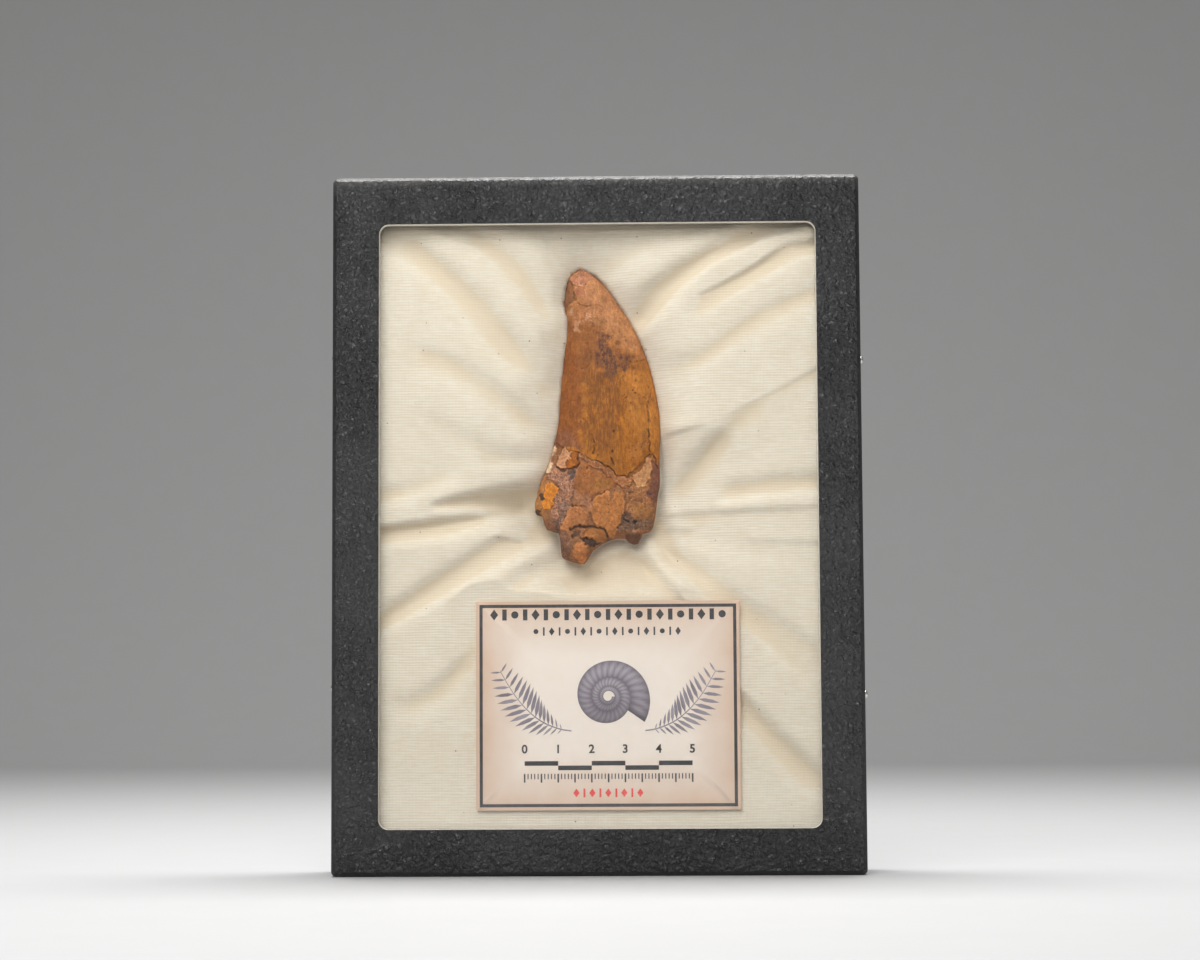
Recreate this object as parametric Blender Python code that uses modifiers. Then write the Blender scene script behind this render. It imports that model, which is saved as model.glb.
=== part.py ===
"""A fossil tooth of a carcharodontosaurus in its glass-topped display case.

The case is a shallow board box. It stands on its bottom edge and its glass faces -Y. A tray filled
with batting is covered by cotton cloth, the tooth lies in a pocket pressed into the cloth, a paper
card lies below it, and a lid with a window holds a glass pane over them. Four pins through the
sides keep the lid on.

Every shape is worked out in millimetres, and each finished mesh is scaled to metres. X runs across
the case, Y from the glass to the back, and Z up from the edge that the case stands on.
"""

import math

import bmesh
import bpy
import numpy as np
from mathutils import Vector

MM = 0.001
GAP = 0.3

# The case, from outside in
CASE_WIDTH = 158.75
CASE_HEIGHT = 209.55
CASE_DEPTH = 25.4
FRONT = -CASE_DEPTH / 2
BACK = CASE_DEPTH / 2
MIDDLE = Vector((0, 0, CASE_HEIGHT / 2))

LID_BOARD = 2.0
LID_WALL = 1.6
LID_SET_IN = 0.5
LID_EDGE_RADIUS = 1.6
WINDOW_WIDTH = 131.5
WINDOW_HEIGHT = 181.3
WINDOW_OFFSET = Vector((0.45, 0, -0.3))
WINDOW_CORNER_RADIUS = 3.0

GLASS_THICKNESS = 2.0
GLASS_ARRIS = 0.3
TRAY_WALL = 1.5
TRAY_CORNER_RADIUS = 0.8

LID_INNER_WIDTH = CASE_WIDTH - 2 * LID_WALL
LID_INNER_HEIGHT = CASE_HEIGHT - 2 * LID_WALL
FILLING_WIDTH = LID_INNER_WIDTH - 2 * GAP
FILLING_HEIGHT = LID_INNER_HEIGHT - 2 * GAP
LID_BOARD_BACK = FRONT + LID_BOARD
GLASS_FRONT = LID_BOARD_BACK + GAP
GLASS_BACK = GLASS_FRONT + GLASS_THICKNESS
TRAY_RIM = GLASS_BACK + GAP
TRAY_FLOOR = BACK - TRAY_WALL
TRAY_INNER_WIDTH = FILLING_WIDTH - 2 * TRAY_WALL
TRAY_INNER_HEIGHT = FILLING_HEIGHT - 2 * TRAY_WALL

# The cloth and the batting under it
CLOTH_WIDTH = TRAY_INNER_WIDTH - 2 * GAP
CLOTH_HEIGHT = TRAY_INNER_HEIGHT - 2 * GAP
CLOTH_THICKNESS = 0.5
CLOTH_FRONT = TRAY_RIM
CLOTH_TUCK = 7.0
BATTING_WIDTH = CLOTH_WIDTH - 2 * (CLOTH_THICKNESS + GAP)
BATTING_HEIGHT = CLOTH_HEIGHT - 2 * (CLOTH_THICKNESS + GAP)
BATTING_CLEARANCE = 1.6
BATTING_BACK = TRAY_FLOOR - GAP
CLOTH_COLUMNS = 22
CLOTH_ROWS_BELOW, CLOTH_ROWS_BESIDE, CLOTH_ROWS_ABOVE = 8, 17, 3

# The paper card
CARD_WIDTH = 78.8
CARD_HEIGHT = 62.2
CARD_THICKNESS = 0.4
CARD_CENTRE_X = 3.0
CARD_BOTTOM = 19.15
CARD_FRONT = TRAY_RIM
CARD_TOP = CARD_BOTTOM + CARD_HEIGHT

# The pins, each by its side, height on the case and name
PIN_SHAFT_RADIUS = 0.4
PIN_HEAD_RADIUS = 1.15
PIN_HEAD_LENGTH = 1.65
PIN_LENGTH = 14.5
PIN_POINT_LENGTH = 1.6
PIN_HOLE_RADIUS = PIN_SHAFT_RADIUS + GAP
PIN_DEPTH_PLACE = 2.0
PIN_SIDES = 10
PINS = (
    ("pin_left_upper", -1, 156.3),
    ("pin_left_lower", -1, 55.8),
    ("pin_right_upper", 1, 154.8),
    ("pin_right_lower", 1, 53.1),
)

# The tooth's outline as (height, x) on each side, and as (x, height) along its broken root
LEFT_EDGE = (
    (100.0, -17.2), (106.0, -18.3), (110.5, -19.2), (114.0, -18.9), (118.7, -17.5), (122.5, -15.0),
    (128.5, -13.8), (131.5, -12.7), (142.8, -11.3), (155.1, -10.0), (164.3, -8.9), (168.0, -9.0),
    (171.0, -9.9), (176.0, -9.5), (180.0, -8.4), (182.0, -6.9), (182.9, -5.2),
)
RIGHT_EDGE = (
    (100.0, 15.0), (103.3, 16.6), (107.5, 17.9), (115.2, 18.4), (127.3, 19.0), (132.0, 19.2),
    (138.9, 18.8), (146.9, 17.4), (154.0, 15.6), (164.2, 11.4), (172.2, 6.5), (179.0, 1.4),
    (181.2, -1.0), (182.5, -2.8), (182.9, -4.8),
)
ROOT_EDGE = (
    (-19.2, 110.5), (-16.8, 105.5), (-15.1, 103.4), (-12.6, 102.2), (-11.3, 97.0), (-10.0, 94.8),
    (-8.5, 94.0), (-5.4, 92.8), (-3.0, 93.9), (-0.9, 96.1), (0.7, 98.3), (2.5, 99.6), (6.7, 100.5),
    (9.3, 100.3), (10.7, 98.9), (12.2, 99.6), (13.4, 102.0), (15.8, 103.3), (18.4, 111.0),
)
ROOT_BOTTOM = 100.0
ROOT_BLEND_TOP = 116.0
TIP_HEIGHT = 182.9

# Half the tooth's thickness and the depth of its middle, each by height
HALF_THICKNESS = (
    (100.0, 6.2), (108.0, 6.9), (118.0, 7.0), (128.0, 6.8), (140.0, 6.2), (155.0, 5.1),
    (168.0, 3.9), (176.0, 3.0), (180.5, 2.1), (182.9, 0.6),
)
MIDDLE_DEPTH = ((100.0, -0.4), (130.0, -0.4), (160.0, 0.1), (182.9, 0.8))
ROOT_FULLNESS = 0.8
CROWN_FULLNESS = 1.35
RING_SIDES = 40

# The broken lower edge of the enamel, as (x, height), and the step down from it to the root
ENAMEL_EDGE = (
    (-19.0, 128.0), (-13.5, 128.5), (-7.5, 126.4), (-2.1, 123.3), (3.9, 120.6), (7.5, 118.9),
    (9.9, 119.6), (13.6, 122.6), (16.3, 125.6), (19.5, 123.5),
)
ENAMEL_STEP = 0.7
ENAMEL_STEP_SPREAD = 1.6
FLUTE_SPACING = 6.4
FLUTE_RISE = 0.12

# Lumps and pits: centre x, centre height, half width, half height and rise towards the viewer
FRONT_RELIEF = (
    ("chip at the left of the enamel", -9.6, 124.9, 3.8, 3.3, 0.9),
    ("chip at the right of the enamel", 13.4, 119.2, 2.6, 4.0, 0.8),
    ("smooth patch at the left", -13.9, 113.4, 2.4, 4.2, 0.5),
    ("grainy band of rock", -9.0, 112.5, 2.2, 7.5, 0.35),
    ("middle of the root", -0.5, 116.5, 5.2, 5.5, 0.6),
    ("paler panel below it", 3.4, 107.6, 5.2, 5.6, 0.5),
    ("pits at the right of the root", 9.3, 105.2, 2.4, 2.0, -0.9),
    ("swelling at the right", 14.0, 109.0, 3.0, 5.0, 0.5),
    ("round flake at the break", -2.0, 100.8, 4.6, 2.6, -0.9),
    ("hollow under the flake", -2.0, 98.9, 3.0, 1.3, -1.4),
    ("nub at the bottom", -5.2, 96.0, 3.2, 2.4, 0.6),
    ("dark lobe at the bottom", 11.2, 100.2, 1.6, 1.4, 0.4),
    ("worn facet at the tip", -4.8, 179.0, 3.2, 3.0, -0.4),
    ("roughness under the tip", -2.5, 169.0, 4.4, 2.6, -0.25),
    ("worn left edge", -8.7, 174.5, 1.4, 6.0, -0.3),
)
BACK_RELIEF = (
    ("root hollow", 0.0, 108.0, 5.0, 9.0, -1.0),
    ("left root swelling", -11.0, 111.0, 4.0, 7.0, 0.6),
    ("right root swelling", 11.5, 110.0, 4.0, 7.0, 0.5),
    ("chip in the crown", 6.0, 150.0, 3.0, 3.6, -0.4),
)
RELIEF_RIM = 0.7

# Folds of the cloth: two ends as (x, height), half width, and rise towards the glass
CLOTH_FOLDS = (
    ("ridge above the right crease", (24, 141), (66, 157), 6.0, 1.4),
    ("right crease", (21, 131), (66, 151), 3.5, -1.1),
    ("ridge to the upper right", (12, 163), (44, 188), 6.0, 2.0),
    ("upper right crease", (33, 175), (67, 192), 3.5, -1.2),
    ("ridge above the left creases", (-22, 117), (-66, 112), 5.0, 1.6),
    ("left creases", (-20, 110), (-66, 101), 4.0, -1.8),
    ("ridge to the lower left", (-14, 97), (-62, 84), 6.0, 2.2),
    ("valley to the lower left", (-13, 88), (-60, 72), 6.0, -1.2),
    ("ridge to the lower right", (14, 95), (38, 84), 5.0, 2.0),
    ("valley to the upper left", (-20, 160), (-52, 191), 7.0, -1.4),
)
POCKET_MARGIN = 3.5
POCKET_ROOM = 2.0
SINK_AT_TOOTH = 8.6
SINK_SPREAD = 9.0
CARD_BED = 0.9
CARD_BED_MARGIN = 12.0


def clear_scene():
    """Removes what the startup file holds."""
    for leftover in list(bpy.data.objects):
        bpy.data.objects.remove(leftover, do_unlink=True)


def make_collection(name):
    """Adds a collection to the scene."""
    collection = bpy.data.collections.new(name)
    bpy.context.scene.collection.children.link(collection)
    return collection


def make_material(name, colour, roughness, metallic=0.0, transmission=0.0):
    """A Principled material with plain values."""
    material = bpy.data.materials.new(name)
    material.use_nodes = True
    shader = material.node_tree.nodes["Principled BSDF"]
    shader.inputs["Base Color"].default_value = (*colour, 1.0)
    shader.inputs["Roughness"].default_value = roughness
    shader.inputs["Metallic"].default_value = metallic
    shader.inputs["Transmission Weight"].default_value = transmission
    material.diffuse_color = (*colour, 1.0)
    return material


def finish_object(bm, name, collection, material=None, place=Vector(), smooth_below=None):
    """Scales a shape in millimetres to metres and makes it an object.

    place is the object's location in millimetres. Edges that turn less than smooth_below, in
    degrees, are shaded smooth.
    """
    bmesh.ops.scale(bm, vec=(MM, MM, MM), verts=bm.verts)
    mesh = bpy.data.meshes.new(name)
    bm.to_mesh(mesh)
    bm.free()
    if smooth_below is not None:
        mesh.shade_smooth()
        mesh.set_sharp_from_angle(angle=math.radians(smooth_below))
    made = bpy.data.objects.new(name, mesh)
    made.location = place * MM
    if material:
        mesh.materials.append(material)
    collection.objects.link(made)
    return made


def block(width, depth, height, centre=Vector()):
    """A box as a bmesh, in millimetres, around its centre."""
    bm = bmesh.new()
    bmesh.ops.create_cube(bm, size=1)
    bmesh.ops.scale(bm, vec=(width, depth, height), verts=bm.verts)
    bmesh.ops.translate(bm, vec=centre, verts=bm.verts)
    return bm


def round_edges(bm, wanted, radius, segments):
    """Rounds the edges for which wanted(edge) is true."""
    bmesh.ops.bevel(
        bm,
        geom=[edge for edge in bm.edges if wanted(edge)],
        offset=radius,
        segments=segments,
        profile=0.5,
        affect="EDGES",
        clamp_overlap=True,
        material=-1,
    )


def runs_along(edge, axis):
    """True if the edge lies along that axis."""
    direction = (edge.verts[1].co - edge.verts[0].co).normalized()
    return abs(direction[axis]) > 0.999


def make_cutter(bm, name, place=Vector()):
    """An object that only cuts others."""
    cutter = finish_object(bm, name, cutters, place=place)
    cutter.hide_render = True
    cutter.display_type = "WIRE"
    return cutter


def cut(target, cutter):
    """Takes the cutter's shape out of the target."""
    modifier = target.modifiers.new("Cut " + cutter.name, "BOOLEAN")
    modifier.operation = "DIFFERENCE"
    modifier.solver = "EXACT"
    modifier.object = cutter


def curve_through(points):
    """A smooth function of the first coordinate that passes through all the points."""
    place, value = np.array(points, float).T
    slope = np.gradient(value, place)

    def value_at(where):
        where = np.clip(where, place[0], place[-1])
        first = np.clip(np.searchsorted(place, where) - 1, 0, len(place) - 2)
        step = place[first + 1] - place[first]
        t = (where - place[first]) / step
        return (
            value[first] * (2 * t**3 - 3 * t**2 + 1)
            + value[first + 1] * (3 * t**2 - 2 * t**3)
            + step * slope[first] * (t**3 - 2 * t**2 + t)
            + step * slope[first + 1] * (t**3 - t**2)
        )

    return value_at


def smooth_step(value):
    """0 below 0, 1 above 1, and a smooth rise between them."""
    value = np.clip(value, 0, 1)
    return value * value * (3 - 2 * value)


left_edge = curve_through(LEFT_EDGE)
right_edge = curve_through(RIGHT_EDGE)
half_thickness = curve_through(HALF_THICKNESS)
middle_depth = curve_through(MIDDLE_DEPTH)


def root_edge(x):
    """Height of the broken root's lower edge."""
    return np.interp(x, *zip(*ROOT_EDGE))


def enamel_edge(x):
    """Height of the enamel's lower edge."""
    return np.interp(x, *zip(*ENAMEL_EDGE))


def relief(marks, x, z):
    """Sum of the lumps and pits in the list at a point."""
    total = 0.0
    for _, centre_x, centre_z, half_width, half_height, rise in marks:
        reach = math.hypot((x - centre_x) / half_width, (z - centre_z) / half_height)
        total += rise * smooth_step((1 + RELIEF_RIM / 2 - reach) / RELIEF_RIM)
    return total


def surface_rise(x, z, marks):
    """How far the tooth's face stands out from its plain section: enamel, flutes, lumps and pits."""
    below = smooth_step((enamel_edge(x) - z) / ENAMEL_STEP_SPREAD)
    flutes = FLUTE_RISE * math.cos(2 * math.pi * x / FLUTE_SPACING) * (1 - below)
    return flutes - ENAMEL_STEP * below + relief(marks, x, z)


def ring_heights():
    """Heights of the tooth's rings, closest where the root breaks off and at the round tip."""
    return np.concatenate(
        [
            np.linspace(ROOT_BOTTOM, ROOT_BLEND_TOP, 12, endpoint=False),
            np.linspace(ROOT_BLEND_TOP, 130, 9, endpoint=False),
            np.linspace(130, 166, 12, endpoint=False),
            TIP_HEIGHT - (TIP_HEIGHT - 166) * np.linspace(1, 0.06, 11) ** 1.6,
        ]
    )


def tooth_point(angle, height):
    """A point on the tooth, where angle goes round its section from the right edge to the back."""
    left, right = left_edge(height), right_edge(height)
    across, through = math.cos(angle), math.sin(angle)
    x = (left + right) / 2 + (right - left) / 2 * across
    climb = np.clip((height - ROOT_BOTTOM) / (ROOT_BLEND_TOP - ROOT_BOTTOM), 0, 1)
    z = height if climb == 1 else root_edge(x) + (ROOT_BLEND_TOP - root_edge(x)) * climb
    fullness = ROOT_FULLNESS + (CROWN_FULLNESS - ROOT_FULLNESS) * smooth_step((height - 112) / 16)
    closing = 1 - (1 - climb) ** 8
    thick = half_thickness(height) * closing * abs(through) ** fullness
    marks = FRONT_RELIEF if through < 0 else BACK_RELIEF
    thick += surface_rise(x, z, marks) * closing * min(1, 2.2 * abs(through)) * smooth_step(thick / 2)
    return Vector((x, middle_depth(height) + math.copysign(thick, through), z))


def make_tooth(collection):
    """The tooth: a tube of rings along its length, each moved to the section at its height.

    The lowest ring is flat, so its front and back meet along the broken edge.
    """
    heights = ring_heights()
    bm = bmesh.new()
    bmesh.ops.create_cone(bm, cap_ends=True, segments=RING_SIDES, radius1=1, radius2=1, depth=1)
    bottom_cap = min(bm.faces, key=lambda face: face.calc_center_median().z)
    bmesh.ops.delete(bm, geom=[bottom_cap], context="FACES_ONLY")
    sides = [edge for edge in bm.edges if runs_along(edge, 2)]
    bmesh.ops.subdivide_edges(bm, edges=sides, cuts=len(heights) - 2)
    for vert in bm.verts:
        ring = round((vert.co.z + 0.5) * (len(heights) - 1))
        vert.co = tooth_point(math.atan2(vert.co.y, vert.co.x), heights[ring])
    bmesh.ops.remove_doubles(bm, verts=bm.verts, dist=0.01)
    ivory = make_material("Fossil enamel and root", (0.36, 0.18, 0.07), 0.42)
    return finish_object(bm, "tooth", collection, ivory, smooth_below=40)


def tooth_outline():
    """Points round the tooth as seen from the front."""
    heights = np.linspace(ROOT_BLEND_TOP, TIP_HEIGHT, 60)
    root = np.linspace(ROOT_EDGE[0][0], ROOT_EDGE[-1][0], 50)
    return np.concatenate(
        [
            np.column_stack([left_edge(heights), heights]),
            np.column_stack([right_edge(heights), heights]),
            np.column_stack([root, root_edge(root)]),
        ]
    )


def outside_tooth(x, z, outline):
    """Distance from the tooth's outline, below 0 inside it."""
    distance = np.hypot(outline[:, 0] - x, outline[:, 1] - z).min()
    inside = root_edge(x) < z < TIP_HEIGHT and left_edge(z) < x < right_edge(z)
    return -distance if inside else distance


def fold_rise(x, z):
    """Sum of the cloth's folds at a point, towards the glass."""
    total = 0.0
    for _, start, end, half_width, rise in CLOTH_FOLDS:
        start, run = Vector(start), Vector(end) - Vector(start)
        along = (Vector((x, z)) - start).dot(run) / run.length_squared
        nearest = start + run * min(max(along, 0), 1)
        away = (Vector((x, z)) - nearest).length
        total += rise * math.exp(-((away / half_width) ** 2)) * (1 - 0.5 * min(max(along, 0), 1))
    return total


def cloth_depth(x, z, outline):
    """Depth of the cloth's front face: flat behind the glass, and sunk round and under the tooth."""
    distance = outside_tooth(x, z, outline)
    height = min(max(z, ROOT_BOTTOM), TIP_HEIGHT)
    if distance < POCKET_MARGIN:
        reach = (right_edge(height) - left_edge(height)) / 2 + POCKET_MARGIN
        inward = min((POCKET_MARGIN - distance) / reach, 1)
        pocket = (half_thickness(height) + POCKET_ROOM) * (1 - (1 - inward) ** 2) ** 0.6
        return middle_depth(height) + pocket
    sink = SINK_AT_TOOTH * math.exp(-(distance - POCKET_MARGIN) / SINK_SPREAD)
    sink = max(sink - fold_rise(x, z) * smooth_step((distance - POCKET_MARGIN) / 6), 0)
    beside_card = max(abs(x - CARD_CENTRE_X) - CARD_WIDTH / 2, 0)
    above_card = max(z - CARD_TOP, CARD_BOTTOM - z, 0)
    bed = CARD_BED * smooth_step(2 - 1.6 * math.hypot(beside_card, above_card) / CARD_BED_MARGIN)
    return CLOTH_FRONT + max(sink, bed)


def filling_sheet(width, height, extra_depth):
    """The cloth's front face as an open sheet of that size, set back by extra_depth.

    Its columns and rows are closest round the tooth.
    """
    bottom, top = MIDDLE.z - height / 2, MIDDLE.z + height / 2
    rows = np.concatenate(
        [
            np.linspace(bottom, 90, CLOTH_ROWS_BELOW, endpoint=False),
            np.linspace(90, 186, CLOTH_ROWS_BESIDE, endpoint=False),
            np.linspace(186, top, CLOTH_ROWS_ABOVE + 1),
        ]
    )
    spread = np.linspace(-1, 1, CLOTH_COLUMNS + 1)
    columns = width / 2 * (0.62 * spread + 0.38 * spread**3)
    outline = tooth_outline()
    bm = bmesh.new()
    bmesh.ops.create_grid(bm, x_segments=CLOTH_COLUMNS, y_segments=len(rows) - 1, size=1)
    for vert in bm.verts:
        x = columns[round((vert.co.x + 1) / 2 * CLOTH_COLUMNS)]
        z = rows[round((vert.co.y + 1) / 2 * (len(rows) - 1))]
        vert.co = (x, cloth_depth(x, z, outline) + extra_depth, z)
    return bm


def extrude_rim(bm, depth):
    """Extrudes the sheet's rim back, to that depth."""
    rim = [edge for edge in bm.edges if edge.is_boundary]
    made = bmesh.ops.extrude_edge_only(bm, edges=rim)["geom"]
    for vert in made:
        if isinstance(vert, bmesh.types.BMVert):
            vert.co.y = depth


def make_cloth(collection):
    """The cotton cloth, with its edges tucked down inside the tray."""
    bm = filling_sheet(CLOTH_WIDTH, CLOTH_HEIGHT, 0)
    extrude_rim(bm, CLOTH_FRONT + CLOTH_TUCK)
    cotton = make_material("Unbleached cotton", (0.72, 0.62, 0.46), 0.9)
    cloth = finish_object(bm, "lining_cloth", collection, cotton, smooth_below=60)
    thickness = cloth.modifiers.new("Thickness", "SOLIDIFY")
    thickness.thickness = CLOTH_THICKNESS * MM
    thickness.offset = -1
    return cloth


def make_batting(collection):
    """The batting: a pad that fills the tray behind the cloth."""
    bm = filling_sheet(BATTING_WIDTH, BATTING_HEIGHT, BATTING_CLEARANCE)
    extrude_rim(bm, BATTING_BACK)
    bmesh.ops.holes_fill(bm, edges=[edge for edge in bm.edges if edge.is_boundary])
    fleece = make_material("Polyester batting", (0.82, 0.81, 0.78), 0.95)
    return finish_object(bm, "batting_pad", collection, fleece, smooth_below=60)


def make_lid(collection):
    """The lid: a board box open at the back, with a round-cornered window in its front."""
    depth = CASE_DEPTH - LID_SET_IN
    bm = block(CASE_WIDTH, depth, CASE_HEIGHT)
    back = depth / 2
    round_edges(
        bm,
        lambda edge: any(vert.co.y < back - 1 for vert in edge.verts),
        LID_EDGE_RADIUS,
        3,
    )
    leatherette = make_material("Black leatherette", (0.02, 0.02, 0.022), 0.38)
    place = MIDDLE + Vector((0, FRONT + depth / 2, 0))
    lid = finish_object(bm, "lid_frame", collection, leatherette, place, smooth_below=35)

    hollow = block(LID_INNER_WIDTH, CASE_DEPTH, LID_INNER_HEIGHT)
    hollow_place = MIDDLE + Vector((0, LID_BOARD_BACK + CASE_DEPTH / 2, 0))
    cut(lid, make_cutter(hollow, "lid_hollow_cutter", hollow_place))

    window = block(WINDOW_WIDTH, 4 * LID_BOARD, WINDOW_HEIGHT)
    round_edges(window, lambda edge: runs_along(edge, 1), WINDOW_CORNER_RADIUS, 5)
    window_place = MIDDLE + WINDOW_OFFSET + Vector((0, FRONT, 0))
    cut(lid, make_cutter(window, "window_cutter", window_place))
    return lid


def make_glass(collection):
    """The glass pane, held in the lid."""
    bm = block(FILLING_WIDTH, GLASS_THICKNESS, FILLING_HEIGHT)
    round_edges(bm, lambda edge: True, GLASS_ARRIS, 1)
    clear = make_material("Clear glass", (0.95, 0.98, 0.96), 0.02, transmission=1.0)
    place = MIDDLE + Vector((0, (GLASS_FRONT + GLASS_BACK) / 2, 0))
    return finish_object(bm, "glass_pane", collection, clear, place)


def make_tray(collection):
    """The tray that the lid slides over, open towards the glass."""
    depth = BACK - TRAY_RIM
    bm = block(FILLING_WIDTH, depth, FILLING_HEIGHT)
    round_edges(bm, lambda edge: runs_along(edge, 1), TRAY_CORNER_RADIUS, 2)
    board = make_material("Black paper on board", (0.025, 0.025, 0.027), 0.7)
    place = MIDDLE + Vector((0, TRAY_RIM + depth / 2, 0))
    tray = finish_object(bm, "base_tray", collection, board, place)

    hollow = block(TRAY_INNER_WIDTH, depth, TRAY_INNER_HEIGHT)
    hollow_place = MIDDLE + Vector((0, TRAY_FLOOR - depth / 2, 0))
    cut(tray, make_cutter(hollow, "tray_hollow_cutter", hollow_place))
    return tray


def make_card(collection):
    """The paper card that lies between the cloth and the glass."""
    bm = block(CARD_WIDTH, CARD_THICKNESS, CARD_HEIGHT)
    paper = make_material("Cream card", (0.75, 0.6, 0.45), 0.6)
    centre = Vector(
        (CARD_CENTRE_X, CARD_FRONT + CARD_THICKNESS / 2, CARD_BOTTOM + CARD_HEIGHT / 2)
    )
    return finish_object(bm, "label_card", collection, paper, centre)


def pin_profile():
    """Half section of a pin from the top of its head down to its point, at +X from its axis.

    Height 0 is the underside of the head.
    """
    head = [
        (
            PIN_HEAD_RADIUS * math.sin(turn),
            PIN_HEAD_LENGTH * (1 - math.cos(turn)) / 2,
        )
        for turn in (math.radians(degrees) for degrees in (180, 150, 115, 75, 35))
    ]
    return [
        *head,
        (PIN_SHAFT_RADIUS, 0),
        (PIN_SHAFT_RADIUS, PIN_POINT_LENGTH - PIN_LENGTH),
        (0, -PIN_LENGTH),
    ]


def make_pin(name, side, height, collection, nickel):
    """One pin, pushed in through the lid's side from the left (side -1) or the right (side 1)."""
    bm = bmesh.new()
    corners = [bm.verts.new((radius, 0, along)) for radius, along in pin_profile()]
    for upper, lower in zip(corners, corners[1:]):
        bm.edges.new((upper, lower))
    place = Vector((side * (CASE_WIDTH / 2 + GAP), PIN_DEPTH_PLACE, height))
    pin = finish_object(bm, name, collection, nickel, place)
    pin.rotation_euler.y = side * math.pi / 2
    turn = pin.modifiers.new("Turn", "SCREW")
    turn.steps = turn.render_steps = PIN_SIDES
    turn.use_merge_vertices = True
    turn.merge_threshold = 1e-6
    turn.use_smooth_shade = True
    return pin


def make_pin_hole(name, side, height):
    """The cutter for one pin's hole, from outside the lid to past the pin's point."""
    length = PIN_LENGTH + 6
    bm = bmesh.new()
    bmesh.ops.create_cone(
        bm,
        cap_ends=True,
        segments=PIN_SIDES,
        radius1=PIN_HOLE_RADIUS,
        radius2=PIN_HOLE_RADIUS,
        depth=length,
    )
    inner_end = CASE_WIDTH / 2 - PIN_LENGTH
    centre = Vector((side * (inner_end + length / 2 - 1), PIN_DEPTH_PLACE, height))
    cutter = make_cutter(bm, name + "_hole", centre)
    cutter.rotation_euler.y = math.pi / 2
    return cutter


clear_scene()
parts = make_collection("tooth_display_case")
cutters = make_collection("cutters")
cutters.hide_render = True

lid_frame = make_lid(parts)
glass_pane = make_glass(parts)
base_tray = make_tray(parts)
batting_pad = make_batting(parts)
lining_cloth = make_cloth(parts)
tooth = make_tooth(parts)
label_card = make_card(parts)

nickel_steel = make_material("Nickel-plated steel", (0.7, 0.69, 0.66), 0.25, metallic=1.0)
for pin_name, pin_side, pin_height in PINS:
    make_pin(pin_name, pin_side, pin_height, parts, nickel_steel)
    hole = make_pin_hole(pin_name, pin_side, pin_height)
    for pierced in (lid_frame, base_tray, batting_pad):
        cut(pierced, hole)

display_case = bpy.data.objects.new("display_case", None)
parts.objects.link(display_case)
for part in parts.objects:
    if part.type == "MESH":
        part.parent = display_case
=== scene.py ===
"""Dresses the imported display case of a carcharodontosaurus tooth, and lights it as in a studio.

The case stands on its bottom edge and its glass faces -Y. Shapes are worked out in millimetres in
the CAD's own frame, X across, Y from the glass to the back and Z up, and each finished mesh is
scaled to metres. Every finish is procedural, and reads the piece's own place or its attributes.
"""

import functools
import logging
import math
from dataclasses import dataclass, field
from enum import Enum
from typing import Callable, Iterable, Sequence

import bmesh
import bpy
import numpy as np
from bmesh.types import BMEdge, BMesh, BMFace, BMVert
from bpy.types import Material, Mesh, NodeTree, Object
from mathutils import Matrix, Vector


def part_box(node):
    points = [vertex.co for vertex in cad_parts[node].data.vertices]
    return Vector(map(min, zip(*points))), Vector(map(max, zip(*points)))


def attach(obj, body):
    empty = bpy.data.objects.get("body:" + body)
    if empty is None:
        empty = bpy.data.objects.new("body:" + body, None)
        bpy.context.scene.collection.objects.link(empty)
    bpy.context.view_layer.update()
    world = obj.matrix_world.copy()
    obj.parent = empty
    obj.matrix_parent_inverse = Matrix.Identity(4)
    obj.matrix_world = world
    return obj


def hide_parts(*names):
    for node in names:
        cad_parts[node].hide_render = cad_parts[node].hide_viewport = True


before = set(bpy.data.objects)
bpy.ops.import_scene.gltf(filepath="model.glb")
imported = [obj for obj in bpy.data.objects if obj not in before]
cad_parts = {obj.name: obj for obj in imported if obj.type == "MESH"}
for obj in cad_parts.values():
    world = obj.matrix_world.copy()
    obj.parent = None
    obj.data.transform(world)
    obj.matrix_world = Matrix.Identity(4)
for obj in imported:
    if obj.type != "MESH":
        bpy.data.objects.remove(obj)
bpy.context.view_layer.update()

log = logging.getLogger("display_case")

Array = np.ndarray
Point = tuple[float, float]
Colour = tuple[float, float, float]
Socket = bpy.types.NodeSocket

MM = 0.001
BODY = "root"


# Numbers and curves


def smooth_step(value: Array | float) -> Array:
    """0 below 0, 1 above 1, and a smooth rise between them."""
    value = np.clip(value, 0, 1)
    return value * value * (3 - 2 * value)


def blend(first: Array | float, second: Array | float, share: Array | float) -> Array:
    """The first where the share is 0, the second where it is 1."""
    return first * (1 - share) + second * share


def curve_through(points: Sequence[Point]) -> Callable[[Array], Array]:
    """A smooth function of the first coordinate that passes through all the points.

    Args:
        points: (place, value) pairs, with the places in rising order.

    Returns:
        A function that gives the value at any place, and holds the end values beyond the ends.
    """
    place, value = np.array(points, float).T
    slope = np.gradient(value, place)

    def value_at(where: Array) -> Array:
        where = np.clip(where, place[0], place[-1])
        first = np.clip(np.searchsorted(place, where) - 1, 0, len(place) - 2)
        step = place[first + 1] - place[first]
        t = (where - place[first]) / step
        return (
            value[first] * (2 * t**3 - 3 * t**2 + 1)
            + value[first + 1] * (3 * t**2 - 2 * t**3)
            + step * slope[first] * (t**3 - 2 * t**2 + t)
            + step * slope[first + 1] * (t**3 - t**2)
        )

    return value_at


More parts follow.
